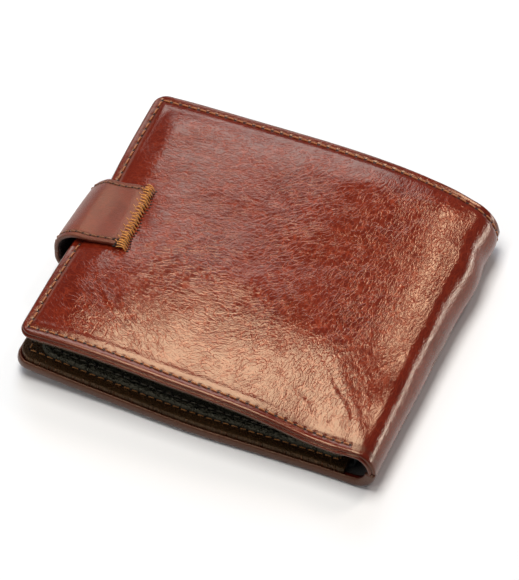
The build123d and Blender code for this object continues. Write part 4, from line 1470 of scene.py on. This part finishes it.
def build_tack():
    """Zigzag stitching over the strap's end, closer together at its two ends."""
    half_steps = 44
    reach = STRAP_HALF + 0.6
    left, right = SEWN - 2.0, SEWN + 0.7
    even = np.linspace(-1, 1, half_steps + 1)
    rungs = reach * (even + 0.06 * np.sin(math.pi * even))
    points, radius = [], []
    for k in range(half_steps):
        ends = [left - 0.35 * math.sin(k * 1.3) ** 2, right + 0.30 * math.sin(k * 2.7)]
        a, b = ends if k % 2 == 0 else ends[::-1]
        wander = 0.30 * math.sin(k * 2.1)
        for i in range(9):
            share = i / 9
            bow = math.sin(math.pi * share)
            s = a + (b - a) * share
            y = rungs[k] + (rungs[k + 1] - rungs[k]) * share + wander * bow * 0.5
            over = bow**0.6 if share > 0 else 0.0
            stack = 0.22 if k % 2 else 0.0
            points.append((s, y, float(strap_top(np.array(s))) + (0.24 + stack) * over - 0.3 * (1 - over)))
            radius.append(0.125 + 0.035 * (k % 2) + 0.03 * math.sin(k * 2.9))
    tack = Stitches()
    tack.add(*tube(points, np.array(radius), 8), 0)
    for k in range(1, half_steps, 2):
        height = float(strap_top(np.array(left)))
        tack.hole(left - 0.25 - 0.35 * math.sin(k * 1.3) ** 2, rungs[k - 1], 0.30, height + 0.06, 1.5, 0.5)
        tack.hole(right + 0.25 + 0.30 * math.sin(k * 2.7), rungs[k], 0.24, 0.10, 1.6, 0.5)
    for k in range(3, half_steps - 2, 4):
        height = float(strap_top(np.array(left - 1.0)))
        share = np.linspace(0, 1, 6)
        arch = height - 0.12 + 0.30 * np.sin(math.pi * share) ** 0.5
        line = np.column_stack([left - 1.15 + 1.2 * share, rungs[k] + 0.9 - 0.9 * share, arch])
        tack.add(*tube(line, 0.11, 6), 0)
        tack.hole(left - 1.3, rungs[k] + 1.0, 0.30, height + 0.07, 1.5, 0.9)

    def place(s, y, depth):
        return on_hide(s - strap_lean(s, y), narrowed(y), depth)

    made = tack.build("strap_zigzag", place, [TACK_THREAD, HOLES])
    ride_as(made, "front", ["strap_bar_tack"])


build_tack()


# ---------------------------------------------------------------- the press stud keeps its CAD shape
def finish_metal():
    for name, material in (
        ("snap_cap", BRASS), ("snap_socket", BRASS), ("snap_stud", BRASS), ("snap_post", BRASS),
        ("snap_spring_wires", STEEL),
    ):
        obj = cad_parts[name]
        obj.data.materials.clear()
        obj.data.materials.append(material)


finish_metal()


# ---------------------------------------------------------------- stage, lights and camera
def build_stage():
    """A pale floor under soft studio light."""
    size = 900.0
    floor = make_object(
        "floor", [(-size, -size, -0.2), (size, -size, -0.2), (size, size, -0.2), (-size, size, -0.2)],
        [(0, 1, 2, 3)], [], smooth_faces=False,
    )
    floor.data.materials.append(Look("pale_floor").shade(Base_Color=(0.76, 0.77, 0.79, 1), Roughness=0.6))


def add_light(name, position, target, size, power, colour):
    """A soft box that faces a point."""
    light = bpy.data.lights.new(name, "AREA")
    light.shape = "RECTANGLE"
    light.size, light.size_y = size
    light.energy = power
    light.color = colour
    made = bpy.data.objects.new(name, light)
    made.location = position
    direction = Vector(target) - Vector(position)
    made.rotation_mode = "QUATERNION"
    made.rotation_quaternion = direction.to_track_quat("-Z", "Y")
    bpy.context.scene.collection.objects.link(made)
    return made


def build_lights():
    """A warm box overhead, a warm and a cool one behind, low cards at the sides and two lights in front."""
    add_light("overhead", (-0.115, 0.018, 0.80), (-0.115, 0.018, 0), (0.36, 0.54), 5.7, (1.0, 0.96, 0.90))
    add_light("back_right", (0.31, 0.61, 0.80), (0.04, 0, 0), (0.20, 0.25), 1.9, (1.0, 0.86, 0.76))
    add_light("back_left", (-0.38, 0.87, 0.74), (0, 0, 0), (0.56, 0.40), 2.95, (0.66, 0.80, 0.96))
    add_light("left_card", (-0.95, 0.50, 0.30), (0, 0, 0), (0.40, 0.40), 0.4, (1.0, 0.98, 0.96))
    add_light("right_card", (0.96, 0.67, 0.05), (0, 0, 0), (0.60, 0.10), 2.3, (0.92, 0.96, 1.0))
    add_light("front_glint", (-0.15, -0.60, 0.75), (0, 0, 0), (0.12, 0.12), 0.75, (1.0, 0.97, 0.90))
    add_light("front_fill", (-0.35, -0.95, 0.60), (0, 0, 0), (0.9, 0.5), 0.35, (0.94, 0.97, 1.0))
    scene = bpy.context.scene
    scene.view_settings.view_transform = "Standard"
    scene.view_settings.look = "None"
    scene.view_settings.exposure = 0.25
    world = bpy.data.worlds.new("studio")
    world.use_nodes = True
    world.node_tree.nodes["Background"].inputs["Color"].default_value = (0.92, 0.95, 1.0, 1)
    world.node_tree.nodes["Background"].inputs["Strength"].default_value = 0.12
    scene.world = world


CAMERA_AZIMUTH = 23.4
CAMERA_ELEVATION = 50.9
CAMERA_DISTANCE = 1205.0
CAMERA_LENS = 281.97
CAMERA_TARGET = (0.8, -0.6, 8.0)


def build_camera():
    """The camera looks down on the closed wallet from its near right."""
    data = bpy.data.cameras.new("camera")
    data.sensor_width = 36.0
    data.lens = CAMERA_LENS
    camera = bpy.data.objects.new("camera", data)
    a, e = math.radians(CAMERA_AZIMUTH), math.radians(CAMERA_ELEVATION)
    back = Vector((math.sin(a) * math.cos(e), -math.cos(a) * math.cos(e), math.sin(e)))
    camera.location = (Vector(CAMERA_TARGET) + back * CAMERA_DISTANCE) * MM
    camera.rotation_mode = "QUATERNION"
    camera.rotation_quaternion = (-back).to_track_quat("-Z", "Y")
    data.clip_start, data.clip_end = 0.05, 10
    bpy.context.scene.collection.objects.link(camera)
    bpy.context.scene.camera = camera


build_stage()
build_lights()
build_camera()
